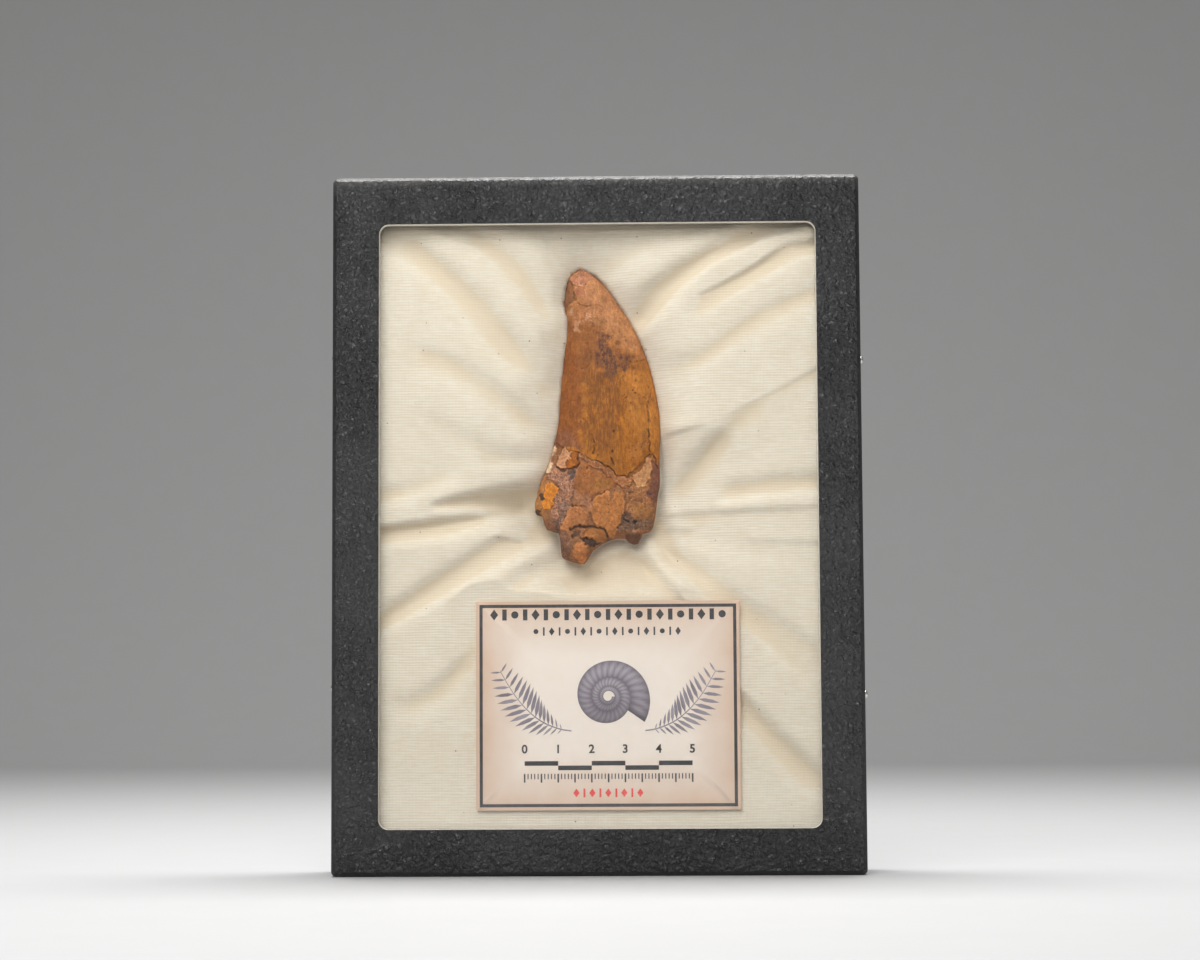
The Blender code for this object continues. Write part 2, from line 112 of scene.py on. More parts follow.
def lattice_noise(x: Array, z: Array, size: float, seed: int) -> Array:
    """Smooth random values from -1 to 1.

    Args:
        x: places across.
        z: places up.
        size: width of one lump, in the same unit.
        seed: chooses the pattern.

    Returns:
        One value for each place.
    """
    table = np.random.default_rng(seed).uniform(-1, 1, (64, 64))
    column, row = np.floor(x / size).astype(int), np.floor(z / size).astype(int)
    across, up = smooth_step(x / size - column), smooth_step(z / size - row)
    left, right = ([table[(column + i) % 64, (row + j) % 64] for j in (0, 1)] for i in (0, 1))
    return blend(blend(*left, up), blend(*right, up), across)


def rough_noise(x: Array, z: Array, size: float, seed: int, layers: int = 3) -> Array:
    """Lattice noise at that size, and at smaller sizes on top of it."""
    return sum(0.55**layer * lattice_noise(x, z, size * 0.5**layer, seed + layer) for layer in range(layers))


def line_reach(x: Array, z: Array, path: Sequence[Point]) -> tuple[Array, Array]:
    """Distance to a path and how far along it the nearest point lies.

    Args:
        x: places across.
        z: places up.
        path: the path's points.

    Returns:
        The distances, and the shares of the path's length from 0 to 1.
    """
    corners = np.array(path, float)
    lengths = np.hypot(*np.diff(corners, axis=0).T)
    before = np.concatenate([[0], np.cumsum(lengths)]) / lengths.sum()
    nearest, along = np.full(np.shape(x), np.inf), np.zeros(np.shape(x))
    for start, end, first, last in zip(corners, corners[1:], before, before[1:]):
        run = end - start
        t = np.clip(((x - start[0]) * run[0] + (z - start[1]) * run[1]) / (run @ run), 0, 1)
        away = np.hypot(x - start[0] - t * run[0], z - start[1] - t * run[1])
        along = np.where(away < nearest, first + t * (last - first), along)
        nearest = np.minimum(away, nearest)
    return nearest, along


def inside_reach(x: Array, z: Array, outline: Sequence[Point]) -> Array:
    """Distance in from an outline, below 0 outside it.

    Args:
        x: places across.
        z: places up.
        outline: the outline's corners.

    Returns:
        One distance for each place.
    """
    edge, _ = line_reach(x, z, [*outline, outline[0]])
    inside = np.zeros(np.shape(x), bool)
    for (x0, z0), (x1, z1) in zip(outline, [*outline[1:], outline[0]]):
        if z0 != z1:
            inside ^= ((z0 > z) != (z1 > z)) & (x < (x1 - x0) * (z - z0) / (z1 - z0) + x0)
    return np.where(inside, edge, -edge)


# Meshes and pieces


def points_of(mesh: Mesh) -> Array:
    """The mesh's points, one a row."""
    found = np.empty(len(mesh.vertices) * 3, np.float32)
    mesh.vertices.foreach_get("co", found)
    return found.reshape(-1, 3).astype(float)


def move_points(mesh: Mesh, places: Array) -> None:
    """Puts the mesh's points at those places."""
    mesh.vertices.foreach_set("co", places.astype(np.float32).ravel())
    mesh.update()


def keep_values(mesh: Mesh, **values: Array) -> None:
    """Keeps one value, vector or colour for each point, as attributes that a finish reads.

    Args:
        mesh: the mesh.
        values: by attribute name, one number a point, or three or four numbers a point.
    """
    kinds = {1: ("FLOAT", "value"), 3: ("FLOAT_VECTOR", "vector"), 4: ("FLOAT_COLOR", "color")}
    for name, kept in values.items():
        kind, part = kinds[1 if kept.ndim == 1 else kept.shape[1]]
        attribute = mesh.attributes.new(name, kind, "POINT")
        attribute.data.foreach_set(part, kept.astype(np.float32).ravel())


def mesh_from(bm: BMesh, name: str) -> Mesh:
    """Turns the bmesh into a mesh, still in millimetres, and frees it."""
    mesh = bpy.data.meshes.new(name)
    bm.to_mesh(mesh)
    bm.free()
    return mesh


def face_glass(mesh: Mesh) -> None:
    """Turns an open sheet's faces towards the glass."""
    mesh.update()
    if sum(face.normal.y for face in mesh.polygons) > 0:
        mesh.flip_normals()


def verts_in(made: Iterable[object]) -> list[BMVert]:
    """The vertices among what a bmesh operator made."""
    return [part for part in made if isinstance(part, BMVert)]


def extrude(bm: BMesh, edges: Sequence[BMEdge]) -> tuple[list, list]:
    """Extrudes edges.

    Args:
        bm: the bmesh.
        edges: its edges to extrude.

    Returns:
        The new vertices, and the edges between them.
    """
    made = bmesh.ops.extrude_edge_only(bm, edges=edges)["geom"]
    verts = verts_in(made)
    new = set(verts)
    far = [part for part in made if isinstance(part, BMEdge) and new.issuperset(part.verts)]
    return verts, far


def chain(bm: BMesh, points: Iterable[Sequence[float]]) -> tuple[list, list]:
    """Adds a line through the points, and gives its vertices and edges."""
    verts = [bm.verts.new(point) for point in points]
    return verts, [bm.edges.new(pair) for pair in zip(verts, verts[1:])]


def close_ends(bm: BMesh) -> BMesh:
    """Fills the open ends of a shell."""
    bmesh.ops.holes_fill(bm, edges=[edge for edge in bm.edges if edge.is_boundary])
    bmesh.ops.recalc_face_normals(bm, faces=bm.faces)
    return bm


def make_piece(
    shape: BMesh | Mesh,
    name: str,
    materials: Sequence[Material],
    stands_for: Sequence[str] = (),
    smooth_below: float | None = 40,
) -> Object:
    """Makes a piece of the object from a shape in millimetres.

    Args:
        shape: the bmesh, which is freed, or the mesh.
        name: the piece's name.
        materials: what its faces' material numbers stand for.
        stands_for: the CAD nodes that it replaces.
        smooth_below: edges that turn less than this many degrees are shaded smooth.

    Returns:
        The piece, which rides on the case.
    """
    mesh = mesh_from(shape, name) if isinstance(shape, BMesh) else shape
    mesh.transform(Matrix.Scale(MM, 4))
    if smooth_below is not None:
        mesh.shade_smooth()
        mesh.set_sharp_from_angle(angle=math.radians(smooth_below))
    for material in materials:
        mesh.materials.append(material)
    piece = bpy.data.objects.new(name, mesh)
    bpy.context.scene.collection.objects.link(piece)
    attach(piece, BODY)
    if stands_for:
        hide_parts(*stands_for)
    log.info("%s: %d faces", name, len(mesh.polygons))
    return piece


@dataclass(frozen=True)
class Rim:
    """One closed loop of a shell, a rounded rectangle that faces -Y.

    Attributes:
        half_width: half its width.
        half_height: half its height.
        radius: radius of its corners.
        depth: its place along Y.
        paint: material number of the faces between it and the loop before it.
        middle: its middle as (x, height).
    """

    half_width: float
    half_height: float
    radius: float
    depth: float
    paint: int = 0
    middle: Point = (0.0, 104.775)

    def places(self, corner_steps: int, wide_steps: int, tall_steps: int) -> list[Vector]:
        """The loop's points, which start at its right side and go round through its top.

        Args:
            corner_steps: steps round each corner.
            wide_steps: steps along the top and bottom.
            tall_steps: steps along each side.

        Returns:
            One point for each step.
        """
        inner_x, inner_z = self.half_width - self.radius, self.half_height - self.radius
        arcs = []
        for number, (right, up) in enumerate(((1, 1), (-1, 1), (-1, -1), (1, -1))):
            arc = []
            for step in range(corner_steps + 1):
                turn = math.pi / 2 * (number + step / corner_steps)
                x = self.middle[0] + right * inner_x + self.radius * math.cos(turn)
                z = self.middle[1] + up * inner_z + self.radius * math.sin(turn)
                arc.append(Vector((x, self.depth, z)))
            arcs.append(arc)
        found = []
        for arc, after, steps in zip(arcs, arcs[1:] + arcs[:1], (wide_steps, tall_steps) * 2):
            found += arc + [arc[-1].lerp(after[0], step / steps) for step in range(1, steps)]
        return found


def shell_of(
    rims: Sequence[Rim], corner_steps: int = 8, wide_steps: int = 40, tall_steps: int = 52
) -> BMesh:
    """A skin through the loops, one after another, made by extruding the first.

    Args:
        rims: the loops, in order. The last may be the same as the first, which closes the skin.
        corner_steps: steps round each corner.
        wide_steps: steps along each top and bottom.
        tall_steps: steps along each side.

    Returns:
        The shell. It is open where the first and last loops differ.
    """
    loops = [rim.places(corner_steps, wide_steps, tall_steps) for rim in rims]
    bm = bmesh.new()
    around = bm.verts.layers.int.new("around")
    bmesh.ops.create_circle(bm, segments=len(loops[0]), radius=1)
    for number, vert in enumerate(bm.verts):
        vert[around] = number
    verts, edges = list(bm.verts), list(bm.edges)
    for number, (rim, places) in enumerate(zip(rims, loops)):
        if number:
            verts, edges = extrude(bm, edges)
            for face in {face for edge in edges for face in edge.link_faces}:
                face.material_index = rim.paint
        for vert in verts:
            vert.co = places[vert[around]]
    bmesh.ops.remove_doubles(bm, verts=bm.verts, dist=0.0005)
    bmesh.ops.recalc_face_normals(bm, faces=bm.faces)
    return bm


# Nodes


class Field:
    """What a node's output carries. A sum on it adds a Math node."""

    def __init__(self, nodes: "Nodes", socket: Socket) -> None:
        """Belongs to that material or node group."""
        self.nodes, self.socket = nodes, socket

    def __add__(self, other: "Value") -> "Field":
        """This and the other together."""
        return self.nodes.math("ADD", self, other)

    def __mul__(self, other: "Value") -> "Field":
        """This times the other."""
        return self.nodes.math("MULTIPLY", self, other)

    def __sub__(self, other: "Value") -> "Field":
        """This less the other."""
        return self.nodes.math("SUBTRACT", self, other)

    def __rsub__(self, other: "Value") -> "Field":
        """The other less this."""
        return self.nodes.math("SUBTRACT", other, self)


Value = float | Sequence[float] | Field


class Nodes:
    """Adds and joins the nodes of one material or node group."""

    def __init__(self, tree: NodeTree) -> None:
        """Works on that tree."""
        self.tree = tree

    def add(
        self, kind: str, inputs: dict[str | int, Value], output: str | int = 0, **settings: object
    ) -> Field:
        """Adds a shader node.

        Args:
            kind: its kind.
            inputs: what its sockets are given, by name or number.
            output: the output that is wanted.
            settings: its settings.

        Returns:
            That output.
        """
        node = self.tree.nodes.new("ShaderNode" + kind)
        for name, value in settings.items():
            setattr(node, name, value)
        for name, value in inputs.items():
            self.feed(node.inputs[name], value)
        return Field(self, node.outputs[output])

    def feed(self, socket: Socket, value: Value) -> None:
        """Joins an output to this socket, or sets its value."""
        if isinstance(value, Field):
            self.tree.links.new(value.socket, socket)
        elif socket.type == "RGBA" and len(value) == 3:
            socket.default_value = (*value, 1.0)
        else:
            socket.default_value = value

    def place(self, stretch: Sequence[float] = (1, 1, 1)) -> Field:
        """The point's place on the piece in millimetres, with each axis multiplied by its stretch."""
        scale = [part / MM for part in stretch]
        return self.add("Mapping", {"Vector": self.add("TexCoord", {}, "Object"), "Scale": scale})

    def parts(self, vector: Field) -> list[Field]:
        """The three parts of a vector."""
        return [self.add("SeparateXYZ", {0: vector}, number) for number in range(3)]

    def vector(self, *parts: Value) -> Field:
        """A vector from its three parts."""
        return self.add("CombineXYZ", dict(enumerate(parts)))

    def attribute(self, name: str, output: str = "Fac") -> Field:
        """A value that the mesh keeps for each point."""
        return self.add("Attribute", {}, output, attribute_name=name)

    def noise(
        self,
        where: Field,
        scale: float = 1.0,
        detail: float = 2.0,
        roughness: float = 0.5,
        distortion: float = 0.0,
        output: str = "Fac",
    ) -> Field:
        """Cloudy noise, with scale lumps a millimetre."""
        inputs = {"Vector": where, "Scale": scale, "Detail": detail, "Roughness": roughness}
        return self.add("TexNoise", {**inputs, "Distortion": distortion}, output)

    def cells(self, where: Field, scale: Value, output: str = "Distance", space: str = "3D") -> Field:
        """Cells, with scale of them a millimetre."""
        return self.add("TexVoronoi", {"Vector": where, "Scale": scale}, output, voronoi_dimensions=space)

    def warp(self, where: Field, scale: float, reach: float) -> Field:
        """Pushes places about by as much as reach, in lumps of that scale."""
        push = self.noise(where, scale, output="Color")
        return self.add("VectorMath", {0: push, 1: (2 * reach,) * 3, 2: where}, operation="MULTIPLY_ADD")

    def math(self, operation: str, *values: Value, clamp: bool = False) -> Field:
        """One sum on numbers."""
        return self.add("Math", dict(enumerate(values)), operation=operation, use_clamp=clamp)

    def highest(self, *values: Value) -> Field:
        """The highest of the values."""
        return functools.reduce(lambda first, second: self.math("MAXIMUM", first, second), values)

    def remap(self, value: Value, low: float, high: float, to_low: float = 0, to_high: float = 1) -> Field:
        """Takes low to high smoothly onto to_low to to_high, and holds the ends."""
        inputs = dict(enumerate((value, low, high, to_low, to_high)))
        return self.add("MapRange", inputs, interpolation_type="SMOOTHSTEP")

    def mix(self, factor: Value, first: Value, second: Value, blend_type: str = "MIX") -> Field:
        """Mixes two colours."""
        return self.add("Mix", {0: factor, 6: first, 7: second}, 2, data_type="RGBA", blend_type=blend_type)

    def ramp(self, value: Field, stops: Sequence[tuple[float, Colour]]) -> Field:
        """A colour for each value from 0 to 1, by way of the stops."""
        made = self.add("ValToRGB", {0: value})
        elements = made.socket.node.color_ramp.elements
        while len(elements) < len(stops):
            elements.new(0.5)
        for element, (place, colour) in zip(elements, stops):
            element.position = place
            element.color = (*colour, 1.0)
        return made

    def bump(self, height: Field, distance: float) -> Field:
        """A normal from heights of 0 to 1 that stand distance millimetres high."""
        return self.add("Bump", {"Distance": distance * MM, "Height": height, "Strength": 1.0})

    def effect(self, group: NodeTree, output: str = "Mask", **values: Value) -> Field:
        """Places a shared effect with its own values."""
        return self.add("Group", values, output, node_tree=group)


def new_effect(
    name: str, inputs: dict[str, float | None], work: Callable[..., dict[str, Field]]
) -> NodeTree:
    """Makes a node group for an effect that more than one finish uses.

    Args:
        name: the group's name.
        inputs: its inputs and what they start at, with None for a vector.
        work: gives the outputs by name, from the group's Nodes and its inputs.

    Returns:
        The group.
    """
    group = bpy.data.node_groups.new(name, "ShaderNodeTree")
    for label, start in inputs.items():
        kind = "NodeSocketVector" if start is None else "NodeSocketFloat"
        socket = group.interface.new_socket(label, in_out="INPUT", socket_type=kind)
        if start is not None:
            socket.default_value = start
    nodes = Nodes(group)
    source = group.nodes.new("NodeGroupInput").outputs
    made = work(nodes, *(Field(nodes, source[label]) for label in inputs))
    for label in made:
        group.interface.new_socket(label, in_out="OUTPUT", socket_type="NodeSocketFloat")
    result = group.nodes.new("NodeGroupOutput")
    for label, value in made.items():
        nodes.feed(result.inputs[label], value)
    return group


@functools.cache
def fibre_effect() -> NodeTree:
    """Paper and board fibres: a tone and a height."""

    def work(nodes: Nodes, where: Field) -> dict[str, Field]:
        """The effect's outputs."""
        fibres = nodes.noise(nodes.warp(where, 1.6, 0.5), 2.4, detail=4, roughness=0.7)
        return {"Tone": (fibres + nodes.noise(where, 0.35, detail=3)) * 0.5, "Height": fibres}

    return new_effect("Paper fibre", {"Where": None}, work)


@functools.cache
def speck_effect(space: str = "3D") -> NodeTree:
    """Scattered specks: Scale cells a millimetre, a Share of them filled, each Size of its cell."""

    def work(nodes: Nodes, where: Field, scale: Field, share: Field, size: Field) -> dict[str, Field]:
        """The effect's output."""
        chance, bigger, _ = nodes.parts(nodes.cells(where, scale, "Color", space))
        away = nodes.cells(nodes.warp(where, 3.0, 0.06), scale, space=space)
        spot = nodes.math("SUBTRACT", 1.0, nodes.math("DIVIDE", away, size * (bigger + 0.5)), clamp=True)
        return {"Mask": nodes.remap(spot, 0.0, 0.45) * nodes.math("LESS_THAN", chance, share)}

    return new_effect("Specks " + space, {"Where": None, "Scale": 1.0, "Share": 0.2, "Size": 0.25}, work)


@functools.cache
def wear_effect() -> NodeTree:
    """Patchy wear where Edge is high, and more of it with more Amount."""

    def work(nodes: Nodes, where: Field, edge: Field, amount: Field) -> dict[str, Field]:
        """The effect's output."""
        over = nodes.noise(where, 0.7, detail=5, roughness=0.72) + edge * amount
        return {"Mask": nodes.remap(over, 0.95, 1.11)}

    return new_effect("Edge wear", {"Where": None, "Edge": 1.0, "Amount": 0.5}, work)


# Finishes


@dataclass(frozen=True)
class Finish:
    """A surface finish, which makes one material."""

    name: str

    def material(self) -> Material:
        """The finish's material."""
        made = bpy.data.materials.new(self.name)
        made.use_nodes = True
        nodes = Nodes(made.node_tree)
        shader = made.node_tree.nodes["Principled BSDF"]
        for socket, value in self.surface(nodes).items():
            nodes.feed(shader.inputs[socket], value)
        return made

    def surface(self, nodes: Nodes) -> dict[str, Value]:
        """What the shader's sockets are given."""
        raise NotImplementedError


@dataclass(frozen=True)
class Leatherette(Finish):
    """Embossed and varnished black paper, in crushed pebbles about a millimetre across."""

    name: str = "Black leatherette"
    colour: Colour = (0.007, 0.007, 0.008)
    hollow_colour: Colour = (0.00385, 0.00385, 0.0044)
    # Pale colour of real wear and dust, and of the painted sheen along the top edge.
    worn_colour: Colour = (0.115, 0.11, 0.105)
    grain_height: float = 0.95

    def surface(self, nodes: Nodes) -> dict[str, Value]:
        """What the shader's sockets are given."""
        where, edge = nodes.place(), nodes.attribute("edge")
        pebbles = nodes.remap(nodes.cells(nodes.warp(where, 0.45, 0.9), 0.6), 0.8, 0.05)
        wrinkles = nodes.noise(nodes.warp(where, 0.6, 0.7), 0.62, detail=4, roughness=0.55)
        calm = nodes.remap(nodes.noise(where, 0.045), 0.38, 0.62, 0.6, 1.0)
        calm = calm * nodes.remap(edge, 0.3, 1.0, 1.0, 0.06)
        height = (pebbles + nodes.remap(wrinkles, 0.35, 0.65)) * 0.5 * calm + nodes.noise(where, 3.5) * 0.12
        wear = nodes.effect(wear_effect(), Where=where, Edge=edge, Amount=0.42)
        dust = nodes.effect(speck_effect(), Where=where, Scale=0.22, Share=0.12, Size=0.05)
        # The pale mix holds real wear, real dust specks, and the painted sheen band along the top edge.
        pale = nodes.highest(wear * 0.55, dust * 0.5, nodes.attribute("scuff"))
        dark = nodes.mix(nodes.remap(height, 0.1, 0.8), self.hollow_colour, self.colour)
        return {
            "Base Color": nodes.mix(pale, dark, self.worn_colour),
            "Roughness": edge * 0.24 + nodes.remap(height, 0.0, 0.9, 0.4, 0.26),
            "Normal": nodes.bump(height, self.grain_height),
            "Specular IOR Level": 0.9,
        }


@dataclass(frozen=True)
class PlainPaper(Finish):
    """Plain paper or board with its fibres, such as the tray's wrap or the lid's cut edge."""

    name: str = "Black paper"
    colour: Colour = (0.026, 0.026, 0.028)
    second_colour: Colour = (0.045, 0.044, 0.044)
    worn_colour: Colour = (0.2, 0.18, 0.15)
    worn: float = 0.3
    roughness: float = 0.72
    fibre_height: float = 0.03

    def surface(self, nodes: Nodes) -> dict[str, Value]:
        """What the shader's sockets are given."""
        where = nodes.place()
        tone = nodes.effect(fibre_effect(), "Tone", Where=where)
        wear = nodes.effect(wear_effect(), Where=where, Edge=nodes.attribute("edge"), Amount=self.worn)
        colour = nodes.mix(nodes.remap(tone, 0.3, 0.7), self.colour, self.second_colour)
        return {
            "Base Color": nodes.mix(wear, colour, self.worn_colour),
            "Roughness": nodes.remap(tone, 0.3, 0.7, self.roughness - 0.08, self.roughness + 0.08),
            "Normal": nodes.bump(nodes.effect(fibre_effect(), "Height", Where=where), self.fibre_height),
        }


@dataclass(frozen=True)
class ClearGlass(Finish):
    """A clear pane that lets the studio's light through."""

    name: str = "Clear glass"
    tint: Colour = (0.985, 0.992, 0.985)

    def material(self) -> Material:
        """The finish's material, which is clear to shadow rays."""
        made = super().material()
        nodes, found = Nodes(made.node_tree), made.node_tree.nodes
        glass = Field(nodes, found["Principled BSDF"].outputs[0])
        shadow = nodes.add("LightPath", {}, "Is Shadow Ray")
        clear = nodes.add("BsdfTransparent", {"Color": self.tint})
        mixed = nodes.add("MixShader", {0: shadow, 1: glass, 2: clear})
        nodes.feed(found["Material Output"].inputs["Surface"], mixed)
        return made

    def surface(self, nodes: Nodes) -> dict[str, Value]:
        """What the shader's sockets are given."""
        return {"Base Color": self.tint, "Roughness": 0.012, "Transmission Weight": 1.0, "IOR": 1.45}


@dataclass(frozen=True)
class Muslin(Finish):
    """Unbleached cotton in plain weave, whose weft shows as fine rows with slubs and seed flecks."""

    name: str = "Unbleached muslin"
    colour: Colour = (0.785, 0.725, 0.625)
    shade: Colour = (0.71, 0.615, 0.485)
    # Painted shade: a warm darker colour for the folds' valleys and the shaded patches, standing in for shade
    # and warm light bounced between folds.
    deep: Colour = (0.70, 0.565, 0.40)
    fleck: Colour = (0.16, 0.11, 0.075)
    row_pitch: float = 0.8
    thread_pitch: float = 0.43

    def surface(self, nodes: Nodes) -> dict[str, Value]:
        """What the shader's sockets are given."""
        flat = nodes.attribute("flat_place", "Vector")
        across, along, _ = nodes.parts(flat)
        drift = nodes.noise(nodes.vector(across * 0.05, along * 0.25, 0.0))
        rows = nodes.math("SINE", along * (2 * math.pi / self.row_pitch) + drift * 9.0) * 0.5 + 0.5
        threads = nodes.math("SINE", across * (2 * math.pi / self.thread_pitch)) * 0.5 + 0.5
        slubs = nodes.noise(nodes.vector(across * 0.24, along * 1.35, 0.0), detail=3, roughness=0.6)
        warps = nodes.noise(nodes.vector(across * 1.7, along * 0.22, 0.0))
        clouds = nodes.noise(flat, 0.11, detail=4, roughness=0.62)
        tone = slubs * 0.7 + rows * 0.22 + warps * 0.25 + clouds * 0.35
        colour = nodes.mix(nodes.remap(tone, 0.55, 1.05), self.shade, self.colour)
        # Painted shade in the fold valleys, under the tooth's root and along the window's top edge.
        colour = nodes.mix(nodes.attribute("valley") * 0.6, colour, self.deep)
        seeds = nodes.effect(speck_effect("2D"), Where=flat, Scale=0.09, Share=0.4, Size=0.018)
        dots = nodes.effect(speck_effect("2D"), Where=flat, Scale=0.3, Share=0.3, Size=0.035)
        return {
            "Base Color": nodes.mix(nodes.highest(seeds * 0.8, dots * 0.22), colour, self.fleck),
            "Normal": nodes.bump(rows * 0.38 + slubs * 0.62 + threads * 0.2 + warps * 0.36, 0.095),
            "Roughness": 0.93,
            "Specular IOR Level": 0.2,
            "Sheen Weight": 0.08,
        }


@dataclass(frozen=True)
class Batting(Finish):
    """White polyester batting with its tangled fibres."""

    name: str = "Batting"
    colour: Colour = (0.84, 0.83, 0.8)
    shade: Colour = (0.66, 0.65, 0.62)

    def surface(self, nodes: Nodes) -> dict[str, Value]:
        """What the shader's sockets are given."""
        where = nodes.warp(nodes.place(), 0.5, 1.4)
        tangle = nodes.noise(where, 1.1, detail=6, roughness=0.75, distortion=1.2)
        return {
            "Base Color": nodes.mix(nodes.remap(tangle, 0.35, 0.6), self.shade, self.colour),
            "Normal": nodes.bump(tangle, 0.8),
            "Roughness": 0.97,
            "Specular IOR Level": 0.1,
        }


@dataclass(frozen=True)
class Fossil(Finish):
    """Fossil enamel and root. The mesh keeps the colour and kind of each marking."""

    name: str = "Fossil enamel and root"
    heights: Point = (116.0, 184.0)
    crown: tuple[tuple[float, Colour], ...] = (
        (0.0, (0.36, 0.115, 0.010)),
        (0.20, (0.40, 0.138, 0.012)),
        (0.42, (0.40, 0.140, 0.015)),
        (0.56, (0.34, 0.118, 0.020)),
        (0.72, (0.38, 0.145, 0.038)),
        (0.86, (0.45, 0.180, 0.066)),
        (1.0, (0.49, 0.200, 0.090)),
    )
    # Colour of real cracks and pits, and of the painted shade in the relief's hollows.
    dark: Colour = (0.055, 0.025, 0.014)
    umber: Colour = (0.17, 0.056, 0.012)
    stain: Colour = (0.105, 0.040, 0.026)
    grain_dark: Colour = (0.12, 0.058, 0.038)
    grain_pale: Colour = (0.60, 0.38, 0.26)
    grain_light: Colour = (0.80, 0.66, 0.53)

    def surface(self, nodes: Nodes) -> dict[str, Value]:
        """What the shader's sockets are given."""
        where = nodes.place()
        root, grainy, hollow = (nodes.attribute(name) for name in ("root", "grainy", "hollow"))
        low, high = self.heights
        up = nodes.math("DIVIDE", nodes.parts(where)[2] - low, high - low, clamp=True)
        up = (nodes.noise(where, 0.07) - 0.5) * 0.25 + up
        marked, amount = (nodes.attribute("marking", output) for output in ("Color", "Alpha"))
        colour = nodes.mix(amount, nodes.ramp(up, self.crown), marked)

        crown = nodes.math("SUBTRACT", 1.0, root, clamp=True)
        rocky = root * nodes.math("ADD", grainy, 0.35, clamp=True)
        clouds = nodes.noise(where, 0.16, detail=5, roughness=0.6)
        mottle = nodes.noise(nodes.warp(where, 1.2, 0.4), 1.25, detail=6, roughness=0.72)
        blotchy = nodes.noise(nodes.place((0.6, 0.6, 0.34)), detail=5, roughness=0.65)
        lines = nodes.noise(nodes.place((2.7, 2.7, 0.3)), detail=4, roughness=0.65)
        patches = nodes.noise(nodes.warp(where, 0.9, 0.6), 0.42, detail=5, roughness=0.68)
        tones = nodes.ramp(clouds, ((0.3, (0.32,) * 3), (0.7, (0.7,) * 3)))
        colour = nodes.mix(0.55, colour, tones, "OVERLAY")
        tones = nodes.ramp(mottle, ((0.34, (0.2, 0.19, 0.21)), (0.5, (0.5,) * 3), (0.66, (0.76, 0.77, 0.78))))
        colour = nodes.mix(rocky * 0.4 + 0.45, colour, tones, "OVERLAY")
        line_share = nodes.attribute("streaky") * 0.75 + crown * 0.16
        colour = nodes.mix(nodes.remap(lines, 0.53, 0.4) * line_share, colour, self.umber)
        paler = nodes.mix(1.0, colour, (1.4, 1.5, 1.9), "MULTIPLY")
        colour = nodes.mix(nodes.remap(lines, 0.52, 0.63) * line_share, colour, paler)
        tones = nodes.ramp(blotchy, ((0.37, (0.36, 0.34, 0.37)), (0.63, (0.64, 0.66, 0.63))))
        colour = nodes.mix(crown * 0.3 + 0.35, colour, tones, "OVERLAY")
        colour = nodes.mix(rocky * nodes.remap(patches, 0.5, 0.64, 0.0, 0.75), colour, self.grain_dark)
        colour = nodes.mix(rocky * nodes.remap(patches, 0.42, 0.3, 0.0, 0.45), colour, self.grain_pale)
        # Painted shade in the relief's hollows, and a painted highlight on its ridges, both from the hollow
        # value.
        colour = nodes.mix(nodes.remap(hollow, 0.04, 0.3, 0.0, 0.55), colour, self.dark)
        painted_ridge_highlight = nodes.mix(1.0, colour, (1.3, 1.3, 1.3), "MULTIPLY")
        colour = nodes.mix(nodes.remap(hollow, -0.01, -0.12, 0.0, 0.8), colour, painted_ridge_highlight)

        blotches = nodes.noise(nodes.place((1.15, 1.15, 0.7)), detail=5, roughness=0.7)
        stained = nodes.attribute("stained") * nodes.remap(blotches, 0.4, 0.58, 0.25, 1.0)
        colour = nodes.mix(stained, colour, self.stain)

        sand = nodes.noise(where, 1.7, detail=4, roughness=0.75)
        colour = nodes.mix(grainy * nodes.remap(sand, 0.5, 0.38), colour, self.grain_dark)
        colour = nodes.mix(grainy * nodes.remap(sand, 0.58, 0.68), colour, self.grain_pale)
        grains = nodes.effect(speck_effect(), Where=where, Scale=1.2, Share=0.3, Size=0.2)
        colour = nodes.mix(grains * grainy, colour, self.grain_light)
        pits = nodes.effect(speck_effect(), Where=where, Scale=1.05, Share=0.5, Size=0.3)
        rare = nodes.effect(speck_effect(), Where=where, Scale=0.6, Share=0.25, Size=0.16)
        pits = pits * nodes.attribute("stippled") * 0.75
        # Dark marks: real cracks, pits and freckles, and painted shadow lines under the enamel's edge and
        # under the chip.
        pits = nodes.highest(pits, rare * 0.6, nodes.attribute("cracked"))

        worn = nodes.noise(where, 1.1, detail=6, roughness=0.74)
        fine = lines * crown * 0.5 + sand * grainy + worn * (rocky * 0.9 + 0.4) + mottle * rocky
        return {
            "Base Color": nodes.mix(pits, colour, self.dark),
            "Roughness": clouds * 0.12 + root * 0.2 + 0.48,
            "Normal": nodes.bump(fine - pits, 0.26),
            "Specular IOR Level": 0.15,
        }


@dataclass(frozen=True)
class CardPaper(Finish):
    """Cream card, printed darker towards its edges."""

    name: str = "Cream card"
    middle: Point = (3.0, 50.25)
    half: Point = (39.4, 31.1)
    centre: Colour = (0.86, 0.765, 0.685)
    warm: Colour = (0.74, 0.585, 0.485)
    edge: Colour = (0.66, 0.455, 0.33)

    def surface(self, nodes: Nodes) -> dict[str, Value]:
        """What the shader's sockets are given."""
        where = nodes.place()
        x, _, z = nodes.parts(where)
        sides = [
            half - nodes.math("ABSOLUTE", part - middle)
            for part, middle, half in zip((x, z), self.middle, self.half)
        ]
        clouds = nodes.noise(where, 0.09, detail=4, roughness=0.6)
        inward = (clouds - 0.5) * 9.0 + nodes.math("MINIMUM", *sides)
        colour = nodes.mix(nodes.remap(inward, -1.0, 7.0), self.edge, self.warm)
        colour = nodes.mix(nodes.remap(inward, 4.0, 19.0), colour, self.centre)
        tone = nodes.effect(fibre_effect(), "Tone", Where=where)
        return {
            "Base Color": nodes.mix(nodes.remap(tone, 0.35, 0.65, 0.1, 0.0), colour, self.edge),
            "Roughness": nodes.remap(tone, 0.3, 0.7, 0.5, 0.62),
            "Normal": nodes.bump(nodes.effect(fibre_effect(), "Height", Where=where), 0.012),
        }


